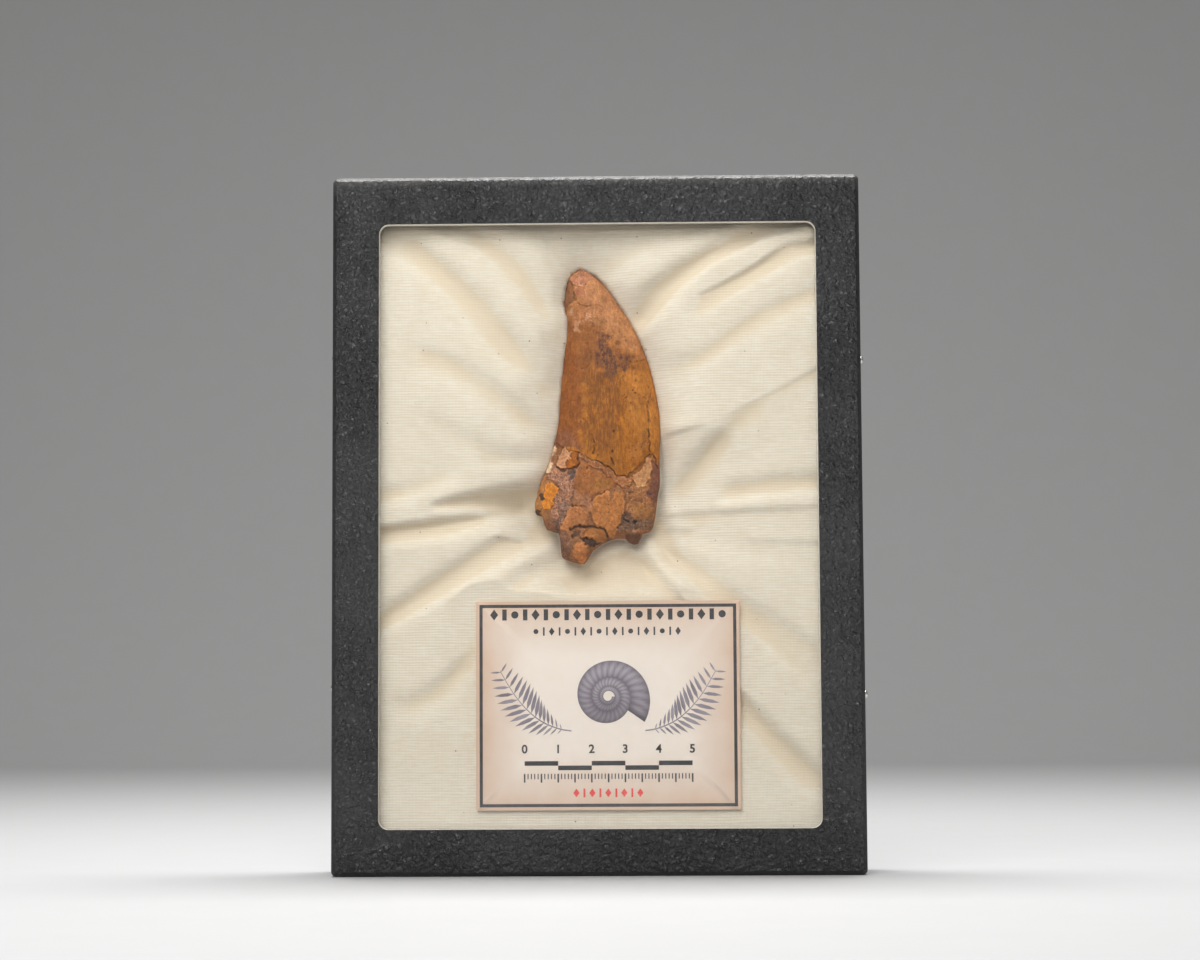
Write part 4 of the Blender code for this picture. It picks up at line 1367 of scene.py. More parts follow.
MARKINGS = (
    Marking("salmon upper crown", ((-9, 184), (3, 184), (13, 163), (14, 156), (8, 158), (3, 164), (-2, 172),
            (-7, 177)), (0.53, 0.228, 0.092), soft=5, cover=0.75),
    Marking("brown shade left of the middle", ((-10, 170), (-3, 170), (1, 162), (0, 152), (-4, 148),
            (-11, 150)), (0.26, 0.086, 0.018), soft=4, cover=0.85),
    Marking("reddish band along the left", ((-8.6, 160), (-7.1, 156.8), (-5.2, 152), (-4.6, 146),
            (-4.5, 136), (-5.5, 128), (-14.5, 128), (-13.1, 136), (-11.6, 147.5), (-10.3, 157)),
            (0.25, 0.072, 0.012), soft=2.8, ragged=1.6, cover=0.85, streaky=0.25),
    Marking("purplish foot of the band", ((-13.5, 130), (-11.8, 132.8), (-9.9, 134), (-7.3, 131.8),
            (-5.4, 128.8), (-5.8, 126.7), (-9.6, 128.1)), (0.225, 0.078, 0.03), soft=1.2, ragged=0.8,
            stippled=0.5),
    Marking("golden right of the lower crown", ((5, 146), (19, 146), (20, 124), (15, 120), (5, 118),
            (1, 122), (-1, 132)), (0.375, 0.122, 0.0075), soft=5, ragged=1.5, cover=0.65, streaky=0.3),
    Marking("bright gold at the right", ((9, 150), (18, 150), (21, 140), (20, 128), (13, 129), (9, 138)),
            (0.52, 0.198, 0.033), soft=5, ragged=1.6, cover=0.75),
    Marking("streaks down the middle", ((-3.1, 151.5), (7.1, 151), (8, 144.3), (6.4, 124), (-3, 127),
            (-3.6, 144.4)), (0.25, 0.08, 0.0065), soft=4, ragged=1, cover=0.85, streaky=0.75),
    Marking("stippled patch at the right", ((7.7, 144.6), (13.9, 147.6), (18, 144.2), (18.3, 140.6),
            (13.2, 140.5), (8.3, 142)), (0.38, 0.135, 0.025), soft=1.6, ragged=0.8, cover=0.5, stippled=1),
    Marking("pitted enamel above the cream chip", ((9, 127), (10.5, 124), (13, 124.5), (15.5, 127.5),
            (15.8, 131.5), (13, 131), (11, 128.5)), (0.43, 0.16, 0.035), soft=1.2, cover=0.6, stippled=0.8),
    Marking("mineral stain", ((0.7, 162.4), (3.5, 162.6), (4.4, 161.1), (3.1, 158.3), (5.3, 157.6),
            (7.7, 156.7), (10.2, 154.8), (9, 152), (6.5, 150.8), (5.8, 148.6), (4.6, 148.3), (4, 150.2),
            (2.5, 149.9), (0.6, 152.1), (0.2, 154.3), (-1.5, 156.8), (0.3, 157.4)), soft=1.8, ragged=1.1,
            stained=1),
    Marking("freckles round the stain", ((-4, 166), (5, 169), (12, 160), (15, 152), (10, 146), (2, 145),
            (-4, 152)), soft=3, stippled=0.5),
    Marking("broken facet at the tip", ((-7, 180.8), (-4.5, 182.4), (-1.4, 181.2), (-0.8, 179.5),
            (-3, 178.6), (-3.9, 177.7), (-5.7, 177.5), (-7.6, 178.5), (-8.2, 179.4)), (0.49, 0.205, 0.108),
            rise=-0.3, soft=0.5, ragged=0.3),
    Marking("second facet at the tip", ((-6.4, 176.8), (-3.9, 177.1), (-3.7, 174.9), (-5.8, 173.9),
            (-7.3, 174.9)), (0.42, 0.16, 0.07), rise=-0.22, soft=0.6),
    Marking("worn left edge of the tip", ((-8.1, 179.4), (-6.7, 177.7), (-7, 175.5), (-5.8, 173),
            (-8.2, 171.8), (-9.5, 168.6), (-10.4, 172.4), (-9.8, 177.1)), (0.25, 0.1, 0.038), rise=-0.35,
            soft=0.7),
    Marking("rough chips under the tip", ((-8.4, 171.8), (-3.3, 171.4), (1.6, 171.1), (2.9, 168.6),
            (1.3, 166.1), (-3.3, 165.5), (-7.7, 165.8), (-9, 168)), (0.42, 0.168, 0.06), rise=-0.14, soft=1,
            ragged=0.7, cover=0.7, grainy=0.3),
    Marking("pale chip by the left edge", ((-7.6, 172), (-6.6, 171.6), (-6.6, 169), (-7.6, 169)),
            (0.55, 0.31, 0.17), -0.1, 0.6, 0.7),
    Marking("pale flake in the middle", ((-4.2, 166.6), (-2.4, 168.6), (-1.3, 168.3), (-3, 166.2)),
            (0.54, 0.26, 0.14), 0.12, 0.5, 0.7),
    Marking("pale flakes at the left", ((-6.8, 166.6), (-5.2, 166.4), (-5.4, 163.6), (-6.6, 163.8)),
            (0.48, 0.22, 0.11), 0.08, 0.7, 0.7),
    Marking("rock in the upper left of the root", ((-17, 121.5), (-12.8, 122.3), (-10.6, 120.6),
            (-8.3, 120.4), (-5.7, 121.8), (-6.1, 118.7), (-7.1, 116.8), (-6.8, 114.9), (-7.4, 112),
            (-8.4, 110.4), (-9.3, 108.5), (-10.6, 107), (-11.6, 104.6), (-12.8, 103.4), (-14.5, 104.5),
            (-13.4, 108.6), (-12.6, 112.7), (-11.2, 114.9), (-12.5, 117.2), (-15, 118.6)),
            (0.47, 0.215, 0.12), rise=0.25, soft=0.7, ragged=0.5, grainy=0.8),
    Marking("hollow beside the chip", ((-8.4, 120.4), (-6.6, 120.8), (-6.2, 118.4), (-8, 118)),
            (0.12, 0.07, 0.055), -0.5, 0.9),
    Marking("pale chip at the left of the enamel", ((-9.6, 128.1), (-8.1, 126.4), (-6.7, 126.4),
            (-8, 125.1), (-9.1, 123), (-9.5, 121.4), (-11.8, 121.8), (-12.1, 123.8), (-11.5, 125.7),
            (-10.5, 127.4)), (0.52, 0.248, 0.122), rise=0.6, soft=0.3, ragged=0.2),
    Marking("orange face of the chip", ((-6.7, 126.4), (-5.7, 126.7), (-5.7, 123.1), (-7, 121.7),
            (-8.3, 121.2), (-9.5, 121.4), (-9.1, 123), (-8, 125.1)), (0.33, 0.098, 0.008), rise=0.4,
            soft=0.3, ragged=0.15),
    Marking("cream rim at the left", ((-12.9, 128.6), (-13.1, 126.4), (-13.5, 125.1), (-13.5, 123.2),
            (-13.8, 121.8), (-14.7, 120.3), (-16.2, 119.9), (-15.4, 121.9), (-15, 123.2), (-14.9, 125.1),
            (-14.4, 127.4)), (0.74, 0.5, 0.33), rise=0.25, soft=0.5, ragged=0.5),
    Marking("golden left flank of the root", ((-20, 117), (-17.5, 118.5), (-15.8, 117.6), (-16.6, 112.1),
            (-16.6, 109.2), (-14.6, 106.8), (-17, 105), (-20, 108)), (0.39, 0.16, 0.045), soft=0.8,
            stippled=0.7),
    Marking("bright orange patch", ((-14.1, 117.5), (-12.8, 116.8), (-11.4, 115.5), (-12.3, 114),
            (-13.1, 112.1), (-13.8, 110.5), (-14.4, 109.2), (-16.5, 109.4), (-16.5, 112.1), (-16.1, 114.9),
            (-15.6, 117.2)), (0.615, 0.212, 0.021), rise=0.35, soft=0.35, ragged=0.25),
    Marking("spot on the left flank", ((-17.4, 113.6), (-16.4, 113.4), (-16.5, 112), (-17.5, 112.2)),
            (0.07, 0.035, 0.02), -0.3, 0.5),
    Marking("pits on the left flank", ((-18.9, 109.4), (-17.2, 109.2), (-16.6, 106.8), (-18, 106.8)),
            (0.08, 0.04, 0.025), -0.35, 0.8),
    Marking("middle panel of the root", ((-5.6, 123.8), (-2.9, 123.1), (0.2, 121.2), (3.4, 119.6),
            (5.9, 117.3), (5.3, 115.8), (2.1, 115.1), (0.8, 113.6), (-1.1, 112.6), (-3, 113.6),
            (-5.5, 113.9), (-6.8, 116.2), (-6.1, 118.7)), (0.33, 0.117, 0.031), rise=0.3, soft=0.8,
            streaky=0.15),
    Marking("golden side of the panel", ((0, 118.5), (4.6, 118), (4.8, 116), (1, 115.4), (-1.5, 114)),
            (0.39, 0.155, 0.035), 0, 1.8),
    Marking("ledge under the enamel", ((-5.6, 126.2), (-2.8, 124.8), (0.9, 122.6), (4.6, 120.2),
            (6.2, 118.9), (8.6, 118.8), (10.8, 118.6), (10.6, 116.4), (8.6, 115.4), (6.6, 116.2),
            (4.4, 118.4), (1.6, 120.4), (-1, 121.9), (-3.2, 123.5), (-5.4, 124.2)), (0.385, 0.143, 0.048),
            rise=0.4, soft=0.4, ragged=0.35, grainy=0.3),
    Marking("band between the panels", ((-7, 113.4), (-3.4, 113.2), (-1.4, 112), (-2, 108.9), (-3.8, 109.4),
            (-5.5, 110.6), (-8, 110.6), (-7.4, 112)), (0.39, 0.165, 0.075), soft=0.6, ragged=0.5,
            grainy=0.3),
    Marking("mottled right of the root", ((8.1, 116.7), (11, 117), (12.3, 115.4), (14.2, 114.7),
            (16.4, 116.6), (19.5, 116.7), (19.3, 108.4), (18, 104.2), (14.7, 101.7), (10.9, 103), (8, 104),
            (7.4, 110.3)), (0.37, 0.148, 0.05), rise=0.15, soft=0.8, ragged=0.7, stippled=0.4, grainy=0.5),
    Marking("grey seam beside the lower left panel", ((-10.9, 112), (-8.8, 111.3), (-7.5, 109.5),
            (-9.4, 107.9), (-10.6, 106.4), (-10.9, 103.6), (-12.2, 103.3), (-13.1, 105.1), (-12.2, 108.2),
            (-11.6, 110.4)), (0.2, 0.115, 0.085), rise=-0.2, soft=1.2, ragged=0.7, cover=0.75, grainy=0.9),
    Marking("grey foot of the right root", ((8.6, 107.9), (11, 106.4), (14.8, 106.7), (16.9, 105.4),
            (16, 103.3), (13.2, 102.7), (8.6, 102.3), (5.5, 102.7)), (0.22, 0.125, 0.085), rise=-0.15,
            soft=1.2, ragged=0.7, cover=0.7, grainy=0.9),
    Marking("golden lump at the right", ((10.3, 110.3), (13.5, 110.9), (16.7, 109.6), (16.3, 107.1),
            (13.5, 105.9), (10.6, 106.8)), (0.36, 0.15, 0.045), 0.5, 1.6, 0.6),
    Marking("purple right edge of the root", ((16.5, 125.9), (17.7, 124.6), (19.5, 122), (19.8, 113.3),
            (17.9, 110.5), (14.8, 112.8), (16.1, 118.5), (16.7, 121.7)), (0.2, 0.072, 0.038), soft=1.2,
            ragged=0.5),
    Marking("grey patch between the panels", ((7.3, 107.2), (9.4, 106.9), (13.2, 104.3), (12.8, 102.4),
            (9.4, 102.6), (7, 104.5)), (0.16, 0.085, 0.05), -0.3, 0.7, 0.5, grainy=0.6),
    Marking("upper pit", ((8, 106.3), (9.4, 106.3), (9.6, 105), (8.2, 104.9)), (0.05, 0.028, 0.02), -0.7,
            0.7),
    Marking("right pit", ((10.4, 105.5), (12, 105.4), (11.9, 104.2), (10.5, 104.3)), (0.06, 0.03, 0.02),
            -0.6, 0.7),
    Marking("right spot", ((15.2, 114.4), (16.3, 114.2), (16.2, 113.2), (15.3, 113.3)), (0.1, 0.04, 0.04),
            -0.2, 0.6),
    Marking("cream chip at the right", ((11, 119.2), (11.7, 120.2), (13.6, 121.1), (14.5, 122.4),
            (15.2, 124.6), (16.4, 125.2), (16.6, 122.4), (16.1, 119.8), (15.6, 117.9), (14.2, 115.4),
            (13.2, 115.1), (12.3, 116), (11.3, 117.6)), (0.555, 0.265, 0.108), rise=0.35, soft=0.35,
            ragged=0.35, stippled=0.35),
    Marking("lower right panel", ((2.1, 114.5), (3.7, 114.2), (4, 110.7), (4.8, 112.3), (5.3, 114.2),
            (8, 113.5), (8.4, 110.3), (7.6, 105.6), (6.2, 103), (4.6, 100.4), (3, 101.5), (2, 103.1),
            (0.2, 104), (-1.4, 105.6), (-2, 108.5), (-1.1, 112), (0.5, 113.2)), (0.46, 0.172, 0.045),
            rise=0.38, soft=0.4, ragged=0.25),
    Marking("lower left panel", ((-8.1, 110.1), (-5.5, 110.1), (-3.6, 108.8), (-1.4, 105.6), (-3, 104.1),
            (-5.6, 103.8), (-7.5, 102.8), (-9, 101.6), (-10.9, 102.9), (-10.6, 105.4), (-9.3, 107.6)),
            (0.43, 0.162, 0.052), rise=0.35, soft=0.5, ragged=0.3),
    Marking("flake at the break", ((-4.6, 101.8), (-3, 103.4), (-0.5, 103.6), (1.7, 102.8), (2.8, 101.2),
            (2.6, 99.5), (0.1, 99.2), (-1.8, 99.9), (-3.7, 100.6)), (0.42, 0.16, 0.042), rise=-0.45,
            soft=0.35, ragged=0.2),
    Marking("hole under the flake", ((-4.9, 99.9), (-3, 100.5), (-1.1, 99.8), (0.8, 99.3), (1.1, 98.2),
            (-1.1, 97.9), (-3.7, 98.4)), (0.11, 0.06, 0.04), -1.5, 0.6),
    Marking("pit left of the flake", ((-7.6, 102.6), (-5, 102.8), (-5.2, 100.8), (-7.2, 100.6)),
            (0.13, 0.06, 0.04), -0.5, 0.8),
    Marking("rough left lobe", ((-17.2, 106.2), (-13.8, 106.7), (-12.8, 104.4), (-12.4, 101.5),
            (-15.4, 102.2), (-17, 104.1)), (0.34, 0.145, 0.068), 0.1, 0.6, stippled=0.4),
    Marking("dark left of the nub", ((-11.4, 102.5), (-9.4, 102.2), (-8.1, 100.9), (-7.8, 98.1), (-8, 95.2),
            (-9.4, 93), (-11.7, 94), (-12, 97.8)), (0.24, 0.105, 0.055), 0, 0.7, 0.5, stippled=0.6,
            grainy=0.5),
    Marking("facet of the nub", ((-7.5, 98.1), (-5.3, 99), (-3, 98), (-2.3, 96.1), (-3.1, 94.5),
            (-4.7, 92.6), (-6.5, 94), (-7.8, 96.5)), (0.5, 0.182, 0.056), 0.35, 0.5),
    Marking("dark lobe at the bottom", ((8.7, 101.6), (10.9, 101.3), (13.4, 101.9), (13, 98.2),
            (10.9, 97.4), (9.4, 99)), (0.15, 0.062, 0.032), 0.15, 0.6),
)

LINES = (
    Line("shadow under the chip", ((-12.1, 121.8), (-9.9, 120.8), (-7.4, 121.2), (-5.7, 122.7),
         (-5.5, 126.3)), 0.3, 0.4, 0.4, 0.2),
    # These two edge lines hold a painted shadow under the enamel's step, as the shadow under the chip does
    # under the chip.
    Line("edge of the enamel", ENAMEL_EDGE[7:17], 0.2, 0.22, 0.4, 0.45),
    Line("edge of the enamel at the right", ENAMEL_EDGE[14:23], 0.2, 0.25, 0.4, 0.4),
    Line("long crack in the middle", ((5.1, 132.3), (4.9, 128.5), (4.7, 126.3), (4.9, 122.6)), 0.22, 0.35,
         0.75, 0.45),
    Line("thin crack at the left", ((-1, 130), (-1.1, 125.6)), 0.16, 0.25, 0.6, 0.3),
    Line("long crack at the right", ((15.2, 140.8), (15.6, 137.3), (15.6, 132.6), (15.9, 128.4),
         (16.2, 125.6)), 0.2, 0.3, 0.65, 0.3),
    Line("line beside the band", ((-4.7, 146.2), (-4.5, 141.3), (-4.7, 136.1)), 0.2, 0.1, 0.4, 0.6),
    Line("crescent", ((-1.7, 155.4), (-1.9, 153.7), (-2.9, 152.2), (-4.5, 151.9)), 0.24, 0.15, 0.5, 0.2),
    Line("crack from the right edge", ((11.4, 153.8), (13.6, 154.5), (15.2, 155)), 0.18, 0.2, 0.5, 0.3),
    Line("step under the tip", ((-5.9, 172.4), (-4.8, 171.6), (-3, 171.1), (-0.2, 171.4), (1.6, 171.1)),
         0.2, 0.2, 0.3, 0.45),
    Line("edge of the tip's facet", ((-7.8, 178.3), (-5.7, 177.2), (-3.9, 177.4)), 0.2, 0.2, 0.4),
    Line("arc over the flake", ((-8.1, 102.8), (-5.6, 103.7), (-3, 103.9), (-0.5, 103.9), (1.7, 103.1),
         (2.7, 101.8), (3, 100.1)), 0.3, 0.7, 0.8),
    Line("crack in the left panel", ((-8.1, 110.4), (-5.5, 109.8), (-4.3, 110.1)), 0.2, 0.3, 0.5, 0.2),
    Line("branch of that crack", ((-7.4, 108.2), (-5.5, 107.2), (-6, 109.5)), 0.16, 0.2, 0.4, 0.3),
    Line("gap between the panels", ((-1.4, 105.6), (-2, 108.5), (-1.1, 112), (0.8, 113.6), (2.1, 114.8)),
         0.22, 0.2, 0.12, 0.5),
    Line("edge of the right panel", ((8.2, 113.5), (8.6, 110.3), (7.8, 105.6), (6.4, 103)), 0.35, 0.25,
         0.25, 0.4),
)

SPOTS = (
    (6.5, 159.5, 0.75), (8.9, 160.6, 0.5), (6.9, 163.1, 0.45), (11.1, 155.4, 0.6), (11.1, 152, 0.6),
    (13.6, 154.5, 0.35), (8, 149.2, 0.3), (11.7, 148.1, 0.32), (-1.2, 165.6, 0.35), (1.1, 163.6, 0.3),
    (2.9, 166.4, 0.25), (9.9, 155.6, 0.5), (9.9, 126.2, 0.4), (10.8, 124.5, 0.4), (13.2, 127.7, 0.3),
    (13.3, 125.2, 0.3), (14.5, 129.7, 0.25), (-4.1, 136.5, 0.3), (-4.8, 135.4, 0.3), (-6, 134, 0.35),
    (-7.6, 132.6, 0.35), (16, 135.7, 0.25), (17.5, 137, 0.3), (13.6, 129.4, 0.25),
)

BACK_MARKS = (
    ("root hollow", 0.0, 108.0, 5.0, 9.0, -1.0),
    ("left root swelling", -11.0, 111.0, 4.0, 7.0, 0.6),
    ("right root swelling", 11.5, 110.0, 4.0, 7.0, 0.5),
    ("chip in the crown", 6.0, 150.0, 3.0, 3.6, -0.4),
)


@dataclass
class Tooth:
    """The fossil tooth: a tube of rings, each moved to the section at its height, with its relief."""

    form: ToothForm = field(default_factory=ToothForm)
    columns: int = 300
    rings: int = 320
    tip_rings: int = 26
    tip_length: float = 3.5
    enamel_step: float = 0.7
    enamel_step_spread: float = 0.55
    flute_spacing: float = 6.4
    flute_rise: float = 0.12
    root_colour: Colour = (0.33, 0.137, 0.052)
    bending: float = 0.42
    hollow_reach: float = 0.5
    back_share: float = 0.4

    def build(self) -> Object:
        """Makes the tooth."""
        bm = bmesh.new()
        bmesh.ops.create_cone(bm, cap_ends=True, segments=self.columns, radius1=1, radius2=1, depth=1)
        bottom_cap = min(bm.faces, key=lambda face: face.calc_center_median().z)
        bmesh.ops.delete(bm, geom=[bottom_cap], context="FACES_ONLY")
        sides = [edge for edge in bm.edges if abs(edge.verts[0].co.z - edge.verts[1].co.z) > 0.5]
        bmesh.ops.subdivide_edges(bm, edges=sides, cuts=self.rings - 2)
        mesh = mesh_from(bm, "fossil_tooth")
        places, values = self.shape(points_of(mesh))
        move_points(mesh, places)
        keep_values(mesh, **values)
        bm = bmesh.new()
        bm.from_mesh(mesh)
        bmesh.ops.remove_doubles(bm, verts=bm.verts, dist=0.004)
        bm.to_mesh(mesh)
        bm.free()
        return make_piece(mesh, "fossil_tooth", [Fossil().material()], ["tooth"], None)

    def ring_heights(self) -> Array:
        """Heights of the rings, closest along the root and at the tip."""
        root, crown_start, tip_start = int(self.rings * 0.42), 130, self.form.tip - self.tip_length
        return np.concatenate(
            [
                np.linspace(self.form.bottom, crown_start, root, endpoint=False),
                np.linspace(crown_start, tip_start, self.rings - root - self.tip_rings, endpoint=False),
                self.form.tip - self.tip_length * np.linspace(1, 0.02, self.tip_rings) ** 1.7,
            ]
        )

    def shape(self, cylinder: Array) -> tuple[Array, dict[str, Array]]:
        """Moves a cylinder's points to the tooth.

        Args:
            cylinder: points of a cylinder of radius 1 and height 1.

        Returns:
            The tooth's points, and the values that its finish reads.
        """
        form, heights = self.form, self.ring_heights()
        height = heights[np.round((cylinder[:, 2] + 0.5) * (len(heights) - 1)).astype(int)]
        angle = np.arctan2(cylinder[:, 1], cylinder[:, 0])
        even = np.arccos(1 - 2 * np.abs(angle) / math.pi)
        angle = np.sign(angle) * blend(np.abs(angle), even, 0.55)
        across, through = np.cos(angle), np.sin(angle)
        left, right = form.left_edge(height), form.right_edge(height)
        x = (left + right) / 2 + (right - left) / 2 * across
        climb = np.clip((height - form.bottom) / (form.blend_top - form.bottom), 0, 1)
        z = np.where(climb == 1, height, blend(form.root_edge(x), form.blend_top, climb))
        fullness = blend(form.root_fullness, form.crown_fullness, smooth_step((height - 112) / 16))
        closing = 1 - (1 - climb) ** 15
        thick = form.thickness(height) * closing * np.abs(through) ** fullness
        front = through < 0
        rise, values = self.front_surface(x, z)
        # How far each place lies below its neighbours. The finish paints shade into hollows and a highlight
        # onto ridges from it.
        beside = [(x + self.hollow_reach * side, z) for side in (1, -1)]
        beside += [(x, z + self.hollow_reach * side) for side in (1, -1)]
        values["hollow"] = sum(self.front_surface(*place)[0] for place in beside) / 4 - rise
        below = values["root"]
        flutes = self.flute_rise * np.cos(2 * math.pi * x / self.flute_spacing)
        rise = np.where(front, rise, self.back_surface(x, z))
        rise = rise - self.enamel_step * below + flutes * (1 - below)
        thick = thick + rise * closing * np.minimum(1, 2.2 * np.abs(through)) * smooth_step(thick / 2)
        y = np.maximum(form.depth(height) + np.copysign(thick, through), Box.of("tooth").low.y - 0.15)
        for name in ("stained", "grainy", "stippled", "streaky", "cracked", "hollow"):
            values[name] = values[name] * np.where(front, 1.0, self.back_share)
        return np.column_stack([x, y, z]), values

    def front_surface(self, x: Array, z: Array) -> tuple[Array, dict[str, Array]]:
        """The front's relief and what its finish reads.

        Args:
            x: places across.
            z: heights.

        Returns:
            How far the front stands out at each place, and the values to keep by name.
        """
        wander = rough_noise(x, z, 1.7, 21, 4)
        bend = self.bending * blend(0.2, 1.0, smooth_step((134 - z) / 8))
        x, z = x + bend * rough_noise(x, z, 1.5, 81), z + bend * rough_noise(x, z, 1.5, 86)
        past_edge = np.interp(x, *zip(*ENAMEL_EDGE)) - z + 0.3 * wander
        below = smooth_step(0.5 + past_edge / self.enamel_step_spread)
        rise = 0.16 * rough_noise(x, z, 3.4, 31) * below + 0.08 * rough_noise(x, z, 1.0, 35) * (0.15 + below)
        colour = np.column_stack([np.ones((len(x), 3)) * self.root_colour, below])
        none = np.zeros(len(x))
        values = {"grainy": 0.15 * below, "stippled": 0.25 * below, "streaky": none, "stained": none}
        for marking in MARKINGS:
            mask = self.area(marking, x, z, wander)
            rise += marking.rise * mask
            if marking.colour:
                cover = (mask * marking.cover)[:, None]
                bare = (colour[:, 3:] <= 0.01) & (cover > 0)
                colour[:, :3] = blend(colour[:, :3], np.array(marking.colour), np.where(bare, 1.0, cover))
                colour[:, 3:] = blend(colour[:, 3:], 1.0, cover)
            under = 1 - 0.8 * mask * (marking.colour is not None)
            for name, value in values.items():
                values[name] = np.maximum(value * under, getattr(marking, name) * mask)
        rise += 0.16 * rough_noise(x, z, 0.7, 51, 2) * values["grainy"]
        cracked = none
        # Each line cuts a groove and darkens it. The enamel edge lines and the shadow under the chip are
        # painted shadow; the cracks keep a crack's own dark colour.
        for line in LINES:
            away, _ = line_reach(x, z, line.path)
            gaps = smooth_step((lattice_noise(x, z, 0.9, 77) + 1.1 - 2 * line.broken) / 0.5)
            mask = np.exp(-((away + 0.12 * wander * (away > 0.1)) / line.width) ** 2) * gaps
            rise -= line.depth * mask
            cracked = np.maximum(cracked, line.dark * mask)
        for spot_x, spot_z, radius in SPOTS:
            away = np.hypot(x - spot_x, z - spot_z) + 0.2 * wander
            cracked = np.maximum(cracked, 0.55 * smooth_step(1.4 - away / radius))
        return rise, {**values, "cracked": cracked, "root": below, "marking": colour}

    def area(self, marking: Marking, x: Array, z: Array, wander: Array) -> Array:
        """How much of a marking covers each place, from 0 to 1.

        Args:
            marking: the marking.
            x: places across.
            z: heights.
            wander: how far its edge wanders at each place, as a share of its raggedness.

        Returns:
            One share for each place.
        """
        reach = marking.soft + marking.ragged + 1
        near = np.full(len(x), True)
        for places, edge in zip((x, z), np.array(marking.outline).T):
            near &= (places > edge.min() - reach) & (places < edge.max() + reach)
        mask = np.zeros(len(x))
        inward = inside_reach(x[near], z[near], marking.outline) + marking.ragged * wander[near]
        mask[near] = smooth_step(0.5 + inward / marking.soft)
        return mask

    def back_surface(self, x: Array, z: Array) -> Array:
        """The back's relief."""
        rise = 0.14 * rough_noise(x + 50, z, 3.8, 41) * smooth_step((126 - z) / 8)
        rise = rise + 0.04 * rough_noise(x, z, 1.4, 45)
        for _, centre_x, centre_z, half_width, half_height, height in BACK_MARKS:
            away = np.hypot((x - centre_x) / half_width, (z - centre_z) / half_height)
            rise = rise + height * smooth_step((1.35 - away) / 0.7)
        return rise


# The cloth and the batting


@dataclass(frozen=True)
class Slope:
    """A band of the cloth that tilts up or down, as one side of a fold does.

    Attributes:
        name: the fold that it belongs to.
        path: its middle line as (x, height).
        width: half its width at the path's start and end.
        tilt: how steeply it faces up, below 0 where it faces down.
        tilt_end: the same at the path's end, if it differs.
    """

    name: str
    path: tuple[Point, ...]
    width: tuple[float, float]
    tilt: float
    tilt_end: float | None = None

    def at(self, x: Array, z: Array) -> Array:
        """The tilt that the band gives each place."""
        away, along = line_reach(x, z, self.path)
        last = self.tilt if self.tilt_end is None else self.tilt_end
        return blend(self.tilt, last, along) * np.exp(-((away / blend(*self.width, along)) ** 2))


